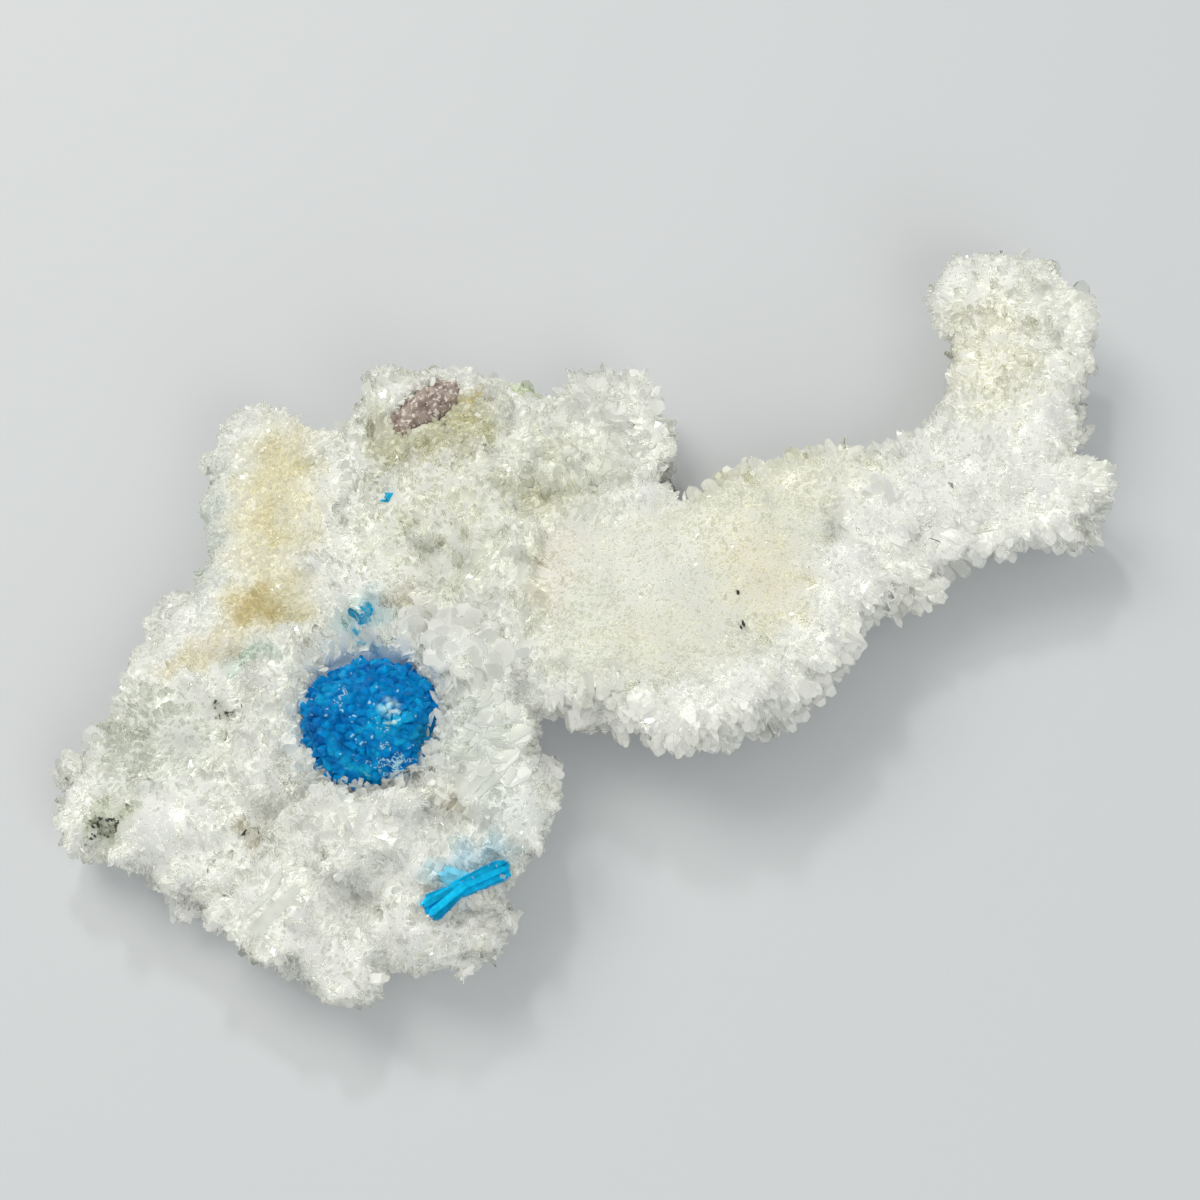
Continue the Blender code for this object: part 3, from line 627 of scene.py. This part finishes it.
# %% Packed growth
def packed(name, shape, density, seed, width, flatness, length, stand, tilt, material, lean=None, fan=1.0, flat=0.0):
    """Grows crystals that stand out by `stand` mm and fan out from the root of their lobe."""
    spots, up, rng = pick(skin_surface, density, seed)
    count = len(spots)
    lobe, far = nearest_lobe(spots)
    away = spots - lobe_root[lobe]
    away = away / np.linalg.norm(away, axis=1)[:, None]
    along = up * (1 - 0.6 * fan) + away * fan + rng.normal(scale=tilt, size=up.shape)
    if lean is not None:
        along = along + lean(spots)
    wide = rng.uniform(*width, count) * lobe_size[lobe]
    tall = rng.uniform(*length, count)
    sizes = np.stack([wide, wide * rng.uniform(*flatness, count), tall], axis=1)
    axis = along / np.linalg.norm(along, axis=1)[:, None]
    feet = spots - axis * ((tall - rng.uniform(*stand, count) * lobe_size[lobe]) * MM)[:, None]
    facing = np.cross(up, axis) / np.maximum(np.linalg.norm(np.cross(up, axis), axis=1), 1e-6)[:, None]
    turns = frames(along, rng, lobe_side[lobe] + 0.7 * rng.normal(size=up.shape) + 4 * flat * facing)
    parts = max(1, math.ceil(count * len(shape[1]) / 190000))
    for k in range(parts):
        some = slice(k * count // parts, (k + 1) * count // parts)
        title = name if parts == 1 else f"{name}_{k + 1}"
        grow(title, shape, feet[some], turns[some], sizes[some], material, colours=stained(spots[some]), seed=seed + k)


# %% [markdown]
# The arm's upper face is a flat plateau of tiny crystals, like coarse sugar. They are under
# half a millimetre, stand at all angles, and catch the light as fine grain.

# %% Plateau sugar
level = plateau(mx, my, mz)
on_top = np.where(on_arm & (nz > 0.3), level, 0)
packed("plateau_sugar", GRAIN, 17.0 * on_top, 21, (0.17, 0.34), (0.6, 0.95), (0.4, 0.6), (0.04, 0.15), 0.5, fine_finish, fan=0.0)

# %% [markdown]
# Round the plateau, and over the whole outer arm, the crystals are coarser and point
# outwards, so the edge of the arm ends in a row of blunt tips.

# %% Arm crystals
SPINE = np.array([
    (-4, -1), (2, -1), (8, 0), (14, 3), (20, 7), (26, 9.5), (31, 11.5), (34, 15), (35, 20), (35, 26), (34.6, 29),
], float)


def from_spine(points):
    """Distance in mm and level direction from the arm's middle line to each point."""
    flat_points = photo_mm(points)[:, :2]
    best = np.full(len(flat_points), 1e9)
    out = np.zeros((len(flat_points), 3))
    for a, b in zip(SPINE[:-1], SPINE[1:]):
        t = np.clip(((flat_points - a) @ (b - a)) / ((b - a) @ (b - a)), 0, 1)
        gap = flat_points - (a + t[:, None] * (b - a))
        far = np.linalg.norm(gap, axis=1)
        nearer = far < best
        best = np.where(nearer, far, best)
        out[nearer, :2] = gap[nearer] / np.maximum(far[nearer], 1e-6)[:, None]
    return best, out


def outward(points):
    """How crystals lean on the arm: away from its middle line, more towards the edge."""
    far, out = from_spine(points)
    return 0.7 * out * np.clip(far / 5, 0, 1)[:, None]


under = np.clip(0.35 + 0.65 * (nz + 0.5) / 0.6, 0.35, 1)
rim = np.where(on_arm, (1 - 0.96 * level) * under, 0)
edge = np.clip((from_spine(skin_surface[0].mean(axis=1))[0] - 2.0) / 2.5, 0.12, 1)
edge = np.where(nz < 0.5, 1.0, edge)
steep = np.clip((0.75 - nz) / 0.35, 0, 1)
packed("arm_top_crystals", BLADE, 2.4 * rim * edge * (1 - steep), 31, (0.35, 0.75), (0.4, 0.7), (1.3, 2.0), (0.12, 0.45), 0.25, fine_finish, outward, 0.5, 0.5)
packed("arm_edge_crystals", BLADE, 2.6 * rim * steep, 32, (0.6, 1.0), (0.45, 0.75), (1.7, 2.4), (0.4, 1.2), 0.2, fine_finish, outward, 0.5)
packed("arm_fine_crystals", GRAIN, 9.0 * rim, 33, (0.22, 0.42), (0.6, 0.95), (0.8, 1.1), (0.06, 0.28), 0.35, fine_finish, outward, 0.5)

# %% [markdown]
# The body is rougher: broad blades lie at all angles in clusters, with a finer growth between
# them. The stained stripe on the finger carries only the finest grains.

# %% Body crystals
on_body = ~on_arm & off_base & ~bare
smooth_left = 0.6 * inside([(-40, -4), (-30, -2), (-28, -14), (-33, -22), (-40, -20)], mx, my, 3.0)
worn = np.maximum(stripe(mx, my, mz), 0.9 * inside(FLANK, mx, my, 1.6))
cluster = np.clip(0.5 + 0.5 * waves(skin_surface[0].mean(axis=1), 4.0, 9), 0, 1)
coarse = np.where(on_body, (1.2 + 1.8 * cluster) * (1 - worn) * (1 - smooth_left) * under, 0)
packed("body_blades", BLADE, coarse, 41, (0.5, 0.95), (0.3, 0.55), (1.5, 2.3), (0.22, 0.75), 0.35, milky_finish, flat=0.6)
bed = at_rock & ~(patch(mx, my, *ROCK, 3.9, 1.9, 41) > 0) | at_sheaf
fine = np.where((on_body | (bed & off_base)) & ~at_fleck, 6.5 * under * (1 - worn), 0)
packed("body_fine_crystals", GRAIN, fine, 43, (0.26, 0.5), (0.45, 0.9), (0.9, 1.3), (0.1, 0.38), 0.35, fine_finish)
packed("stripe_grains", GRAIN, np.where(on_body, 15.0 * worn, 0), 45, (0.25, 0.48), (0.6, 0.95), (0.5, 0.8), (0.08, 0.3), 0.6, fine_finish, fan=0.0)

# %% [markdown]
# Some crystals are clear as glass. They are larger and fewer, and the photo shows them as
# bright edges with a grey inside.

# %% Clear blades
clear_share = np.where(on_body & (nz > 0.2), 0.3 * (1 - worn), 0) + np.where(on_arm & (nz > -0.2), 0.25 * (1 - level), 0)
packed("clear_blades", BLADE, clear_share, 51, (0.7, 1.4), (0.2, 0.35), (1.8, 2.8), (0.5, 1.2), 0.4, clear_finish)

# %% [markdown]
# A few groups stand out in the photo: a rosette of broad thin plates right of the blue ball,
# a coarse shelf below it, and a granular yellow-green crust round the rock chip. They grow
# like the rest, only where their own patch says so.

# %% Groups of their own
def group(*areas):
    """Density weight of a group: its patches, on the upper side of the skin."""
    weight = np.max([patch(mx, my, *area) for area in areas], axis=0)
    return np.where((nz > -0.2) & ~bare, weight, 0)


rosette = group((-11.2, -6.6, 4.6, 3.8, -20), (-8.2, -12.6, 2.0, 4.0, 10))


def away_from(x, y, rise):
    """A lean away from one place, like petals; `rise` lifts it off the level."""

    def lean(points):
        gap = photo_mm(points) - np.array([x, y, 0.0])
        gap[:, 2] = 0
        gap = gap / np.maximum(np.linalg.norm(gap, axis=1), 1e-6)[:, None]
        return 1.5 * gap + np.array([0, 0, rise])

    return lean


packed("rosette_plates", PLATE, 2.6 * rosette, 61, (1.1, 2.1), (0.1, 0.16), (2.0, 3.0), (0.8, 1.8), 0.3, fine_finish, away_from(-11.6, -7.4, 0.3), 0.4, 1.0)
knob = group((39.6, 10.6, 4.6, 5.4))
packed("knob_blades", BLADE, 2.2 * knob, 62, (0.6, 1.0), (0.35, 0.6), (1.9, 2.7), (0.5, 1.3), 0.2, milky_finish, away_from(37.0, 11.0, 0.4), 0.5)
cluster_side = group((25.0, 1.4, 2.6, 3.0))
packed("side_cluster_blades", BLADE, 3.0 * cluster_side, 64, (0.6, 1.0), (0.4, 0.7), (1.9, 2.7), (0.6, 1.4), 0.2, milky_finish, away_from(21.6, 3.4, 0.2), 0.4)
shelf = group((-18.8, -19.6, 7.0, 4.0, -8), (0.8, 15.4, 6.0, 7.0, 0), (-19.6, 8.6, 2.2, 5.4, 0))
packed("shelf_blades", BLADE, 3.0 * shelf, 63, (0.6, 1.2), (0.25, 0.4), (1.8, 2.6), (0.4, 1.15), 0.4, fine_finish, flat=0.7)
granular = np.where(~at_fleck & (nz > 0), patch(mx, my, -12.8, 13.8, 6.4, 4.0, 20) * (patch(mx, my, *ROCK, 3.9, 1.9, 41) == 0), 0)
packed("rock_bed_grains", GRAIN, 9.0 * granular, 65, (0.25, 0.5), (0.6, 0.95), (0.5, 0.8), (0.1, 0.35), 0.5, crust_finish, fan=0.0)

rng = np.random.default_rng(69)
count = 420
turn = rng.uniform(0, 2 * math.pi, count)
share = rng.uniform(1.0, 1.22, count)
u, v = 3.9 * share * np.cos(turn), 1.9 * share * np.sin(turn)
c, sn = math.cos(math.radians(41)), math.sin(math.radians(41))
edge_mm = np.stack([ROCK[0] + u * c - v * sn, ROCK[1] + u * sn + v * c, 10.6 + rng.uniform(-0.9, 0.5, count) - 1.2 * np.clip(share - 1, 0, 1)], axis=1)
spots = (edge_mm - CENTRE) * MM
sizes = np.stack([rng.uniform(0.3, 0.6, count), rng.uniform(0.25, 0.45, count), rng.uniform(0.7, 1.2, count)], axis=1)
grow("rock_rim_grains", GRAIN, spots, frames(np.array([0, -0.3, 0.8]) + rng.normal(scale=0.5, size=(count, 3)), rng), sizes, fine_finish, seed=69)

# %% [markdown]
# Single long blades lie on the crust, and a few rods stick out of the edge of the arm. Each
# runs from one measured place to another.


# %% Long blades
def lay(name, ends, shape, material, seed):
    """Crystals from one place to another: (from, to, width, thickness), all in mm."""
    foot = np.array([place(*a) for a, _, _, _ in ends])
    along = np.array([place(*b) for _, b, _, _ in ends]) - foot
    tall = np.linalg.norm(along, axis=1) / MM
    sizes = np.array([(w, t, tall[i]) for i, (_, _, w, t) in enumerate(ends)])
    flat_side = np.cross(along, np.array([0, 0, 1.0]) + 0.3 * np.random.default_rng(seed).normal(size=along.shape))
    return grow(name, shape, foot, frames(along, rng, flat_side), sizes, material, seed=seed)


lay("long_clear_blades", [
    ((-9.9, -17.4, 9.8), (-7.4, -15.0, 11.4), 0.8, 0.35), ((-9.4, -17.8, 9.6), (-7.0, -15.8, 11.0), 0.5, 0.3),
    ((-26.2, -28.0, 8.0), (-22.6, -25.2, 10.0), 1.0, 0.7), ((-18.4, -30.8, 5.0), (-15.9, -30.9, 5.6), 0.8, 0.3),
    ((-25.4, -26.0, 8.2), (-24.0, -23.6, 9.6), 0.6, 0.4), ((-27.0, -26.8, 7.6), (-24.2, -24.9, 9.4), 0.5, 0.4),
], BLADE, milky_finish, 71)
lay("rim_rods", [
    ((26.6, 5.0, 6.2), (28.6, 2.6, 5.0), 0.9, 0.7), ((27.8, 5.2, 5.8), (30.0, 3.2, 4.8), 0.8, 0.7),
    ((28.6, 5.6, 5.4), (31.2, 4.0, 4.8), 0.8, 0.6), ((37.6, 9.4, 6.6), (40.2, 6.8, 5.8), 0.8, 0.6),
], PRISM, milky_finish, 73)
lay("nub_plate", [
    ((-39.6, -13.6, 4.4), (-39.3, -11.2, 7.2), 2.4, 0.7),
], PLATE, crust_finish, 75)

# %% [markdown]
# The lower left nub holds a dark pit: green-black grains of the host rock among the white.
# A few more such specks lie about.

# %% Dark specks
dark_finish, tree, shader = new_material("dark_host_grains")
shader.inputs["Base Color"].default_value = rgba("#3E4238")
shader.inputs["Roughness"].default_value = 0.6
specks = 8.0 * np.clip(1.5 * patch(mx, my, -38.4, -18.9, 1.7, 1.0, 15), 0, 1) + 5.0 * patch(mx, my, -29.4, -9.6, 1.5, 0.8, 10)
specks += 5.0 * patch(mx, my, -21.0, -2.8, 0.9, 0.8) + 3.0 * patch(mx, my, -26.7, -19.3, 1.0, 0.9)
for x, y in ((11.3, -3.1), (6.9, -5.0), (10.8, -0.6)):
    specks += 12.0 * patch(mx, my, x, y, 0.3, 0.3)
packed("dark_specks", GRAIN, np.where((nz > 0) & ~bare, specks, 0), 67, (0.12, 0.24), (0.6, 0.9), (0.7, 1.0), (0.2, 0.5), 0.5, dark_finish, fan=0.0)

# %% [markdown]
# A collar of clear and milky blades stands round the ball and leans against it, so no gap
# shows between the blue and the white.

# %% Collar round the ball
rng = np.random.default_rng(55)
count = 1300
turn = rng.uniform(0, 2 * math.pi, count)
ring = rng.uniform(5.5, 7.8, count)
out = np.stack([np.cos(turn), np.sin(turn), np.zeros(count)], axis=1)
level_mm = 8.3 + 1.9 * np.clip(np.sin(turn), 0, 1) + 0.9 * np.clip(np.cos(turn), 0, 1) - 0.3 * (ring - 6)
spots = np.stack([BALL[0] + out[:, 0] * ring, BALL[1] + out[:, 1] * ring, level_mm + rng.uniform(-1.4, 0.5, count)], axis=1)
spots = (spots - CENTRE) * MM
along = out * rng.uniform(-0.35, 0.75, count)[:, None] + np.array([0, 0, 1.0]) + rng.normal(scale=0.35, size=(count, 3))
sizes = np.stack([rng.uniform(0.4, 0.85, count), rng.uniform(0.2, 0.36, count), rng.uniform(1.2, 2.2, count)], axis=1)
clear_half = rng.random(count) < 0.2
turns = frames(along, rng)
grow("collar_milky", BLADE, spots[~clear_half], turns[~clear_half], sizes[~clear_half], fine_finish, seed=55)
grow("collar_clear", BLADE, spots[clear_half], turns[clear_half], sizes[clear_half], clear_finish, seed=56)

# %% [markdown]
# The cavansite ball is a rosette: hundreds of short square prisms stand out from one centre,
# packed side by side. Here one fine sphere is raised into 620 cells, one for each prism tip,
# set on an even spiral over the sphere, which gives no poles. About one cell in six also
# gets a pointed crystal of its own.

# %% Cavansite ball
BALL_MM = np.array([-17.6, -11.4, 7.9])
ball_low, ball_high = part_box("cavansite_ball")
print("ball solid in mm:", [round(v * 1000, 1) for v in ball_low], [round(v * 1000, 1) for v in ball_high])


def cavansite(name, rough):
    """Azure glassy crystals that take their blue from their own colour attribute, which on the ball also holds painted
    shade and painted glints.
    """
    material, tree, shader = new_material(name)
    where = add(tree, "ShaderNodeTexCoord")
    stain = add(tree, "ShaderNodeAttribute", {"attribute_name": "stain"})
    cloud = add(tree, "ShaderNodeTexNoise", Vector=where.outputs["Object"], Scale=1 / (0.5 * MM), Detail=3.0)
    tone = add(tree, "ShaderNodeMapRange", Value=cloud.outputs["Fac"], From_Min=0.3, From_Max=0.7, To_Min=0.78, To_Max=1.2)
    colour = add(tree, "ShaderNodeMix", {"data_type": "RGBA", "blend_type": "MULTIPLY"}, _0=1.0, _6=stain.outputs["Color"], _7=tone.outputs["Result"])
    bump = add(tree, "ShaderNodeBump", Strength=0.6, Distance=0.05 * MM, Height=cloud.outputs["Fac"])
    tree.links.new(colour.outputs[2], shader.inputs["Base Color"])
    tree.links.new(bump.outputs["Normal"], shader.inputs["Normal"])
    shader.inputs["Roughness"].default_value = rough
    shader.inputs["IOR"].default_value = 1.54
    shader.inputs["Specular IOR Level"].default_value = 0.08
    return material


ball_finish = cavansite("cavansite_azure_rosette", 0.1)
sheaf_finish = cavansite("cavansite_bright_sheaf", 0.15)
DEEP, AZURE, BRIGHT, FROST_AND_GLINT = (np.array(linear(code)) for code in ("#0068B6", "#008ED6", "#18BEF0", "#C8F4FA"))
BALL_R = 5.1
BALL_SHAPE = np.array([1.06, 0.97, 1.0])
core_bm = bmesh.new()
bmesh.ops.create_icosphere(core_bm, subdivisions=7, radius=1.0)
out = np.array([v.co for v in core_bm.verts])
out = out / np.linalg.norm(out, axis=1)[:, None]
rng = np.random.default_rng(61)
CELLS = 620
z = 1 - (np.arange(CELLS) + 0.5) * 2 / CELLS
turn = np.arange(CELLS) * 2.399963
cells = np.stack([np.sqrt(1 - z * z) * np.cos(turn), np.sqrt(1 - z * z) * np.sin(turn), z], axis=1)
cells = cells + rng.normal(scale=0.04, size=cells.shape)
cells = cells / np.linalg.norm(cells, axis=1)[:, None]
tree = KDTree(CELLS)
for i, spot in enumerate(cells):
    tree.insert(spot, i)
tree.balance()
near = [tree.find_n(spot, 2) for spot in out]
cell = np.array([found[0][1] for found in near])
crease = np.array([found[1][2] - found[0][2] for found in near]) * 5.6 / 0.32
crease = np.clip(crease, 0, 1)
crease = crease * (2 - crease)
swell = waves(cells * 5.6 * MM, 2.4, 6)
high = 0.30 + 0.22 * swell + rng.uniform(-0.18, 0.2, CELLS)
tip_lean = rng.normal(scale=0.2, size=cells.shape)
slope = ((out - cells[cell]) * tip_lean[cell]).sum(1) * 5.6
radius = BALL_R + crease * (high[cell] + slope) + 0.05 * waves(out * 5.6 * MM, 0.5, 7) + 0.08 * waves(out * 5.6 * MM, 1.2, 17)
radius = np.clip(radius, BALL_R - 0.1, 5.82)
for vert, way, length in zip(core_bm.verts, out, radius):
    vert.co = Vector(way * length * BALL_SHAPE) * MM + place(*BALL_MM)
for face in core_bm.faces:
    face.smooth = True
core = finish_piece(core_bm, "cavansite_rosette", ball_finish, ["cavansite_ball"])


def on_ball(right, up, reach=5.7):
    """Direction from the ball's middle to a spot seen `right` and `up` of it in the photo, in mm."""
    toward = math.sqrt(max(reach**2 - right**2 - up**2, 0))
    axes = np.array([(1, 0, 0), (0, math.sin(ELEVATION), math.cos(ELEVATION)), back])
    return (np.array([right, up, toward]) @ axes) / reach


def near_spot(right, up, reach_mm):
    """Weight of the ball's surface round a spot seen `right` and `up` of its middle."""
    gap = np.linalg.norm(out - on_ball(right, up), axis=1) * 5.6
    return np.clip(1.5 - 1.5 * gap / reach_mm, 0, 1)


pale = 0.42 + 0.22 * waves(out * 5.6 * MM, 4.0, 8) + 0.22 * waves(out * 5.6 * MM, 1.3, 9) + rng.uniform(-0.16, 0.2, CELLS)[cell]
pale = np.clip(pale + 0.3 * near_spot(1.4, 0.4, 3.0), 0, 1)[:, None]
blue = np.where(pale < 0.5, DEEP + (AZURE - DEEP) * 2 * pale, AZURE + (BRIGHT - AZURE) * (2 * pale - 1))
# Painted shade: the blue is made darker along the creases between the prism tips.
blue = blue * (0.82 + 0.18 * np.clip(crease * 1.6, 0, 1))[:, None]
# Frost lines and dots: partly the real white frost of stilbite, thickest at the lower right, and partly painted glints
# that stand in for the light sparkling on the prism faces, more at the upper left and the top. The white blotch is real
# stilbite.
frost_and_glint = 0.07 + 0.9 * near_spot(1.6, -3.2, 2.6) + 0.4 * near_spot(-2.6, 2.0, 1.6) + 0.5 * near_spot(-1.2, 3.6, 1.5)
frost_and_glint = frost_and_glint + 0.35 * near_spot(0.8, 0.2, 2.4)
sparse = waves(out * 5.6 * MM, 1.4, 29) + 1.3 * frost_and_glint > 0.85
frost_glint_line = (np.abs(waves(out * 5.6 * MM, 0.8, 19)) < 0.11) & sparse
frost_glint_dots = (rng.random(len(out)) < 0.25 * frost_and_glint) & (frost_and_glint > 0.4) & sparse
blotch = np.clip(near_spot(1.6, 1.9, 1.1) * 1.3 * (0.55 + 0.6 * waves(out * 5.6 * MM, 0.7, 20)), 0, 1)
# Painted shade: the right side of the ball, turned away from the light, is mixed towards a darker, greyer blue.
shade = np.clip(near_spot(5.0, -0.8, 2.6) * 1.2, 0, 0.7)[:, None]
blue = blue * (1 - shade) + np.array(linear("#0A5C84")) * shade
white = np.maximum(0.9 * (frost_glint_line | frost_glint_dots), blotch)[:, None]
store_colour(core.data, np.clip(blue * (1 - white) + FROST_AND_GLINT * white, 0, 1))
some = rng.random(CELLS) < 0.16
count = int(some.sum())
along = cells[some] + rng.normal(scale=0.3, size=(count, 3))
sizes = np.stack([rng.uniform(0.35, 0.7, count), rng.uniform(0.3, 0.55, count), rng.uniform(0.9, 1.4, count)], axis=1)
blues = (AZURE * 0.75 + BRIGHT * 0.25) * rng.uniform(0.75, 1.2, (count, 1))
feet = np.array(place(*BALL_MM)) + cells[some] * 4.5 * MM
grow("cavansite_prism_tips", CUSP, feet, frames(along, rng), sizes, ball_finish, blues, 0.0, 61)
print("ball:", CELLS, "prism tips,", len(core.data.polygons), "triangles")

# %% Glass blades on the ball
places = [(4.3, -1.6), (4.7, -0.9), (3.9, -2.0), (4.6, 0.3), (5.0, -1.8), (1.6, 1.5), (3.4, -4.0), (2.6, -4.6), (4.2, -3.2)]
feet = place(*BALL_MM) + Vector((0, 0, 0))
feet = np.array(feet) + np.array([on_ball(*p) for p in places]) * 5.5 * MM
along = np.array([0.35, 0.75, 0.35]) + rng.normal(scale=0.22, size=feet.shape)
sizes = np.array([
    (0.5, 0.2, 1.9), (0.4, 0.2, 1.5), (0.4, 0.16, 1.3), (0.35, 0.16, 1.2), (0.5, 0.2, 1.5), (0.4, 0.2, 0.8),
    (0.5, 0.25, 1.0), (0.6, 0.25, 1.0), (0.5, 0.25, 1.2),
])
grow("glass_blades_on_ball", BLADE, feet, frames(along, rng, feet - np.array(place(*BALL_MM))), sizes, milky_finish, seed=65)

# %% [markdown]
# The small sheaf is a bow tie of parallel prisms, pinched in the middle, with a fan at its
# left end.

# %% Cavansite sheaf
def prism_row(start, heading, spread, count, gap, wide, tall, tint, seed):
    """Prisms side by side from one place: fanned out by `spread` radians to either side."""
    rng = np.random.default_rng(seed)
    side = np.linspace(-1, 1, count)
    angle = math.radians(heading) + spread * side
    middle = math.radians(heading)
    across = np.array([-math.sin(middle), math.cos(middle), 0.0])
    foot = np.array(place(*start)) + across * (gap * side * MM)[:, None]
    foot[:, 2] += rng.uniform(-0.18, 0.18, count) * MM
    along = np.stack([np.cos(angle), np.sin(angle), rng.uniform(-0.05, 0.05, count)], axis=1)
    sizes = np.stack([rng.uniform(*wide, count), rng.uniform(*wide, count), tall - 0.35 * side**2 + rng.uniform(-0.25, 0.2, count)], axis=1)
    colours = np.array(linear(tint)) * rng.uniform(0.7, 1.25, (count, 1))
    return foot, along, sizes, colours, np.tile(across, (count, 1))


rows = [
    prism_row((-11.0, -25.15, 9.1), 26, 0.04, 6, 0.46, (0.32, 0.48), 4.6, "#10B9EC", 71),
    prism_row((-10.6, -25.0, 8.85), 26, 0.05, 5, 0.42, (0.34, 0.5), 4.1, "#08A8E2", 72),
    prism_row((-10.3, -24.75, 9.1), 217, 0.17, 5, 0.24, (0.38, 0.55), 3.7, "#14BEF0", 73),
    prism_row((-10.5, -24.9, 8.8), 215, 0.24, 5, 0.24, (0.38, 0.55), 3.3, "#08A8E2", 74),
    prism_row((-10.0, -24.2, 8.7), 172, 0.20, 4, 0.30, (0.4, 0.6), 2.2, "#7ACCE6", 75),
]
foot, along, sizes, blues, across = (np.concatenate(column) for column in zip(*rows))
sheaf = grow("cavansite_bow_tie", PRISM, foot, frames(along, rng, across), sizes, sheaf_finish, blues, 0.0, 71)
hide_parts("cavansite_sheaf")
rng = np.random.default_rng(77)
count = 130
ways = rng.uniform(0, 2 * math.pi, count)
ride_out = rng.uniform(1.0, 1.35, count)
u, v = 3.6 * ride_out * np.cos(ways), 1.15 * ride_out * np.sin(ways)
c, sn = math.cos(math.radians(30)), math.sin(math.radians(30))
spots = np.stack([-10.2 + u * c - v * sn, -24.9 + u * sn + v * c, rng.uniform(7.3, 8.1, count)], axis=1)
spots = (spots - CENTRE) * MM
toward = np.array(place(-10.2, -24.9, 8.4)) - spots
toward = 0.25 * toward / np.linalg.norm(toward, axis=1)[:, None]
along = toward + np.array([0, 0, 0.8]) + rng.normal(scale=0.35, size=(count, 3))
sizes = np.stack([rng.uniform(0.35, 0.7, count), rng.uniform(0.2, 0.35, count), rng.uniform(1.0, 1.8, count)], axis=1)
grow("sheaf_collar", BLADE, spots, frames(along, rng), sizes, milky_finish, seed=77)

# %% Blue flecks
fleck_finish, tree, shader = new_material("cavansite_bright_fleck")
shader.inputs["Base Color"].default_value = rgba("#10B2E0")
shader.inputs["Roughness"].default_value = 0.2
for node in ("cavansite_fleck_1", "cavansite_fleck_2", "cavansite_fleck_3"):
    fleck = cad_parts[node]
    fleck.data.materials.clear()
    fleck.data.materials.append(fleck_finish)
    low, high = (np.array(corner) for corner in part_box(node))
    spots = (low + high) / 2 + rng.uniform(-0.5, 0.5, (14, 3)) * (high - low)
    turns = frames(rng.normal(scale=0.6, size=(14, 3)) + np.array([0, 0, 0.8]), rng)
    sizes = np.stack([rng.uniform(0.12, 0.3, 14), rng.uniform(0.12, 0.25, 14), rng.uniform(0.3, 0.7, 14)], axis=1)
    blues = np.array(linear("#28BCE4")) * rng.uniform(0.8, 1.3, (14, 1))
    grow(node + "_grains", CUSP, spots, turns, sizes, sheaf_finish, blues, 0.0, 91)

# %% [markdown]
# The host rock shows as a brown-purple chip with white specks in a hollow. The solid is kept
# as the shape, cut finer and roughened.

# %% Host rock
rock_finish, tree, shader = new_material("host_rock_granular")
where = add(tree, "ShaderNodeTexCoord")
specks = add(tree, "ShaderNodeTexNoise", Vector=where.outputs["Object"], Scale=1 / (0.3 * MM), Detail=2.0)
tone = add(tree, "ShaderNodeTexNoise", Vector=where.outputs["Object"], Scale=1 / (0.9 * MM), Detail=5.0)
brown = add(tree, "ShaderNodeValToRGB", Fac=tone.outputs["Fac"])
brown.color_ramp.elements[0].position = 0.35
brown.color_ramp.elements[0].color = rgba("#887570")
brown.color_ramp.elements[1].position = 0.65
brown.color_ramp.elements[1].color = rgba("#C6B6AA")
white = add(tree, "ShaderNodeMapRange", Value=specks.outputs["Fac"], From_Min=0.56, From_Max=0.62)
mixed = add(tree, "ShaderNodeMix", {"data_type": "RGBA"}, _0=white.outputs["Result"], _6=brown.outputs["Color"], _7=rgba("#F0EAE0"))
bump = add(tree, "ShaderNodeBump", Strength=0.8, Distance=0.15 * MM, Height=tone.outputs["Fac"])
tree.links.new(mixed.outputs[2], shader.inputs["Base Color"])
tree.links.new(bump.outputs["Normal"], shader.inputs["Normal"])
shader.inputs["Roughness"].default_value = 0.85
rock_bm = merged_copy("matrix_rock")
rock = finish_piece(rock_bm, "host_rock_chip", rock_finish, ["matrix_rock"])
step = rock.modifiers.new("fuse", "REMESH")
step.mode = "VOXEL"
step.voxel_size = 0.12 * MM
rock_mesh = worked_out(rock)
points = mesh_points(rock_mesh)
points = points + vertex_normals(rock_mesh) * ((0.12 * waves(points, 0.9, 4) + 0.10 * waves(points, 0.45, 5)) * MM)[:, None]
rock_mesh.vertices.foreach_set("co", points.astype(np.float32).ravel())
rock_mesh.update()
print("rock:", len(rock_mesh.polygons), "faces")
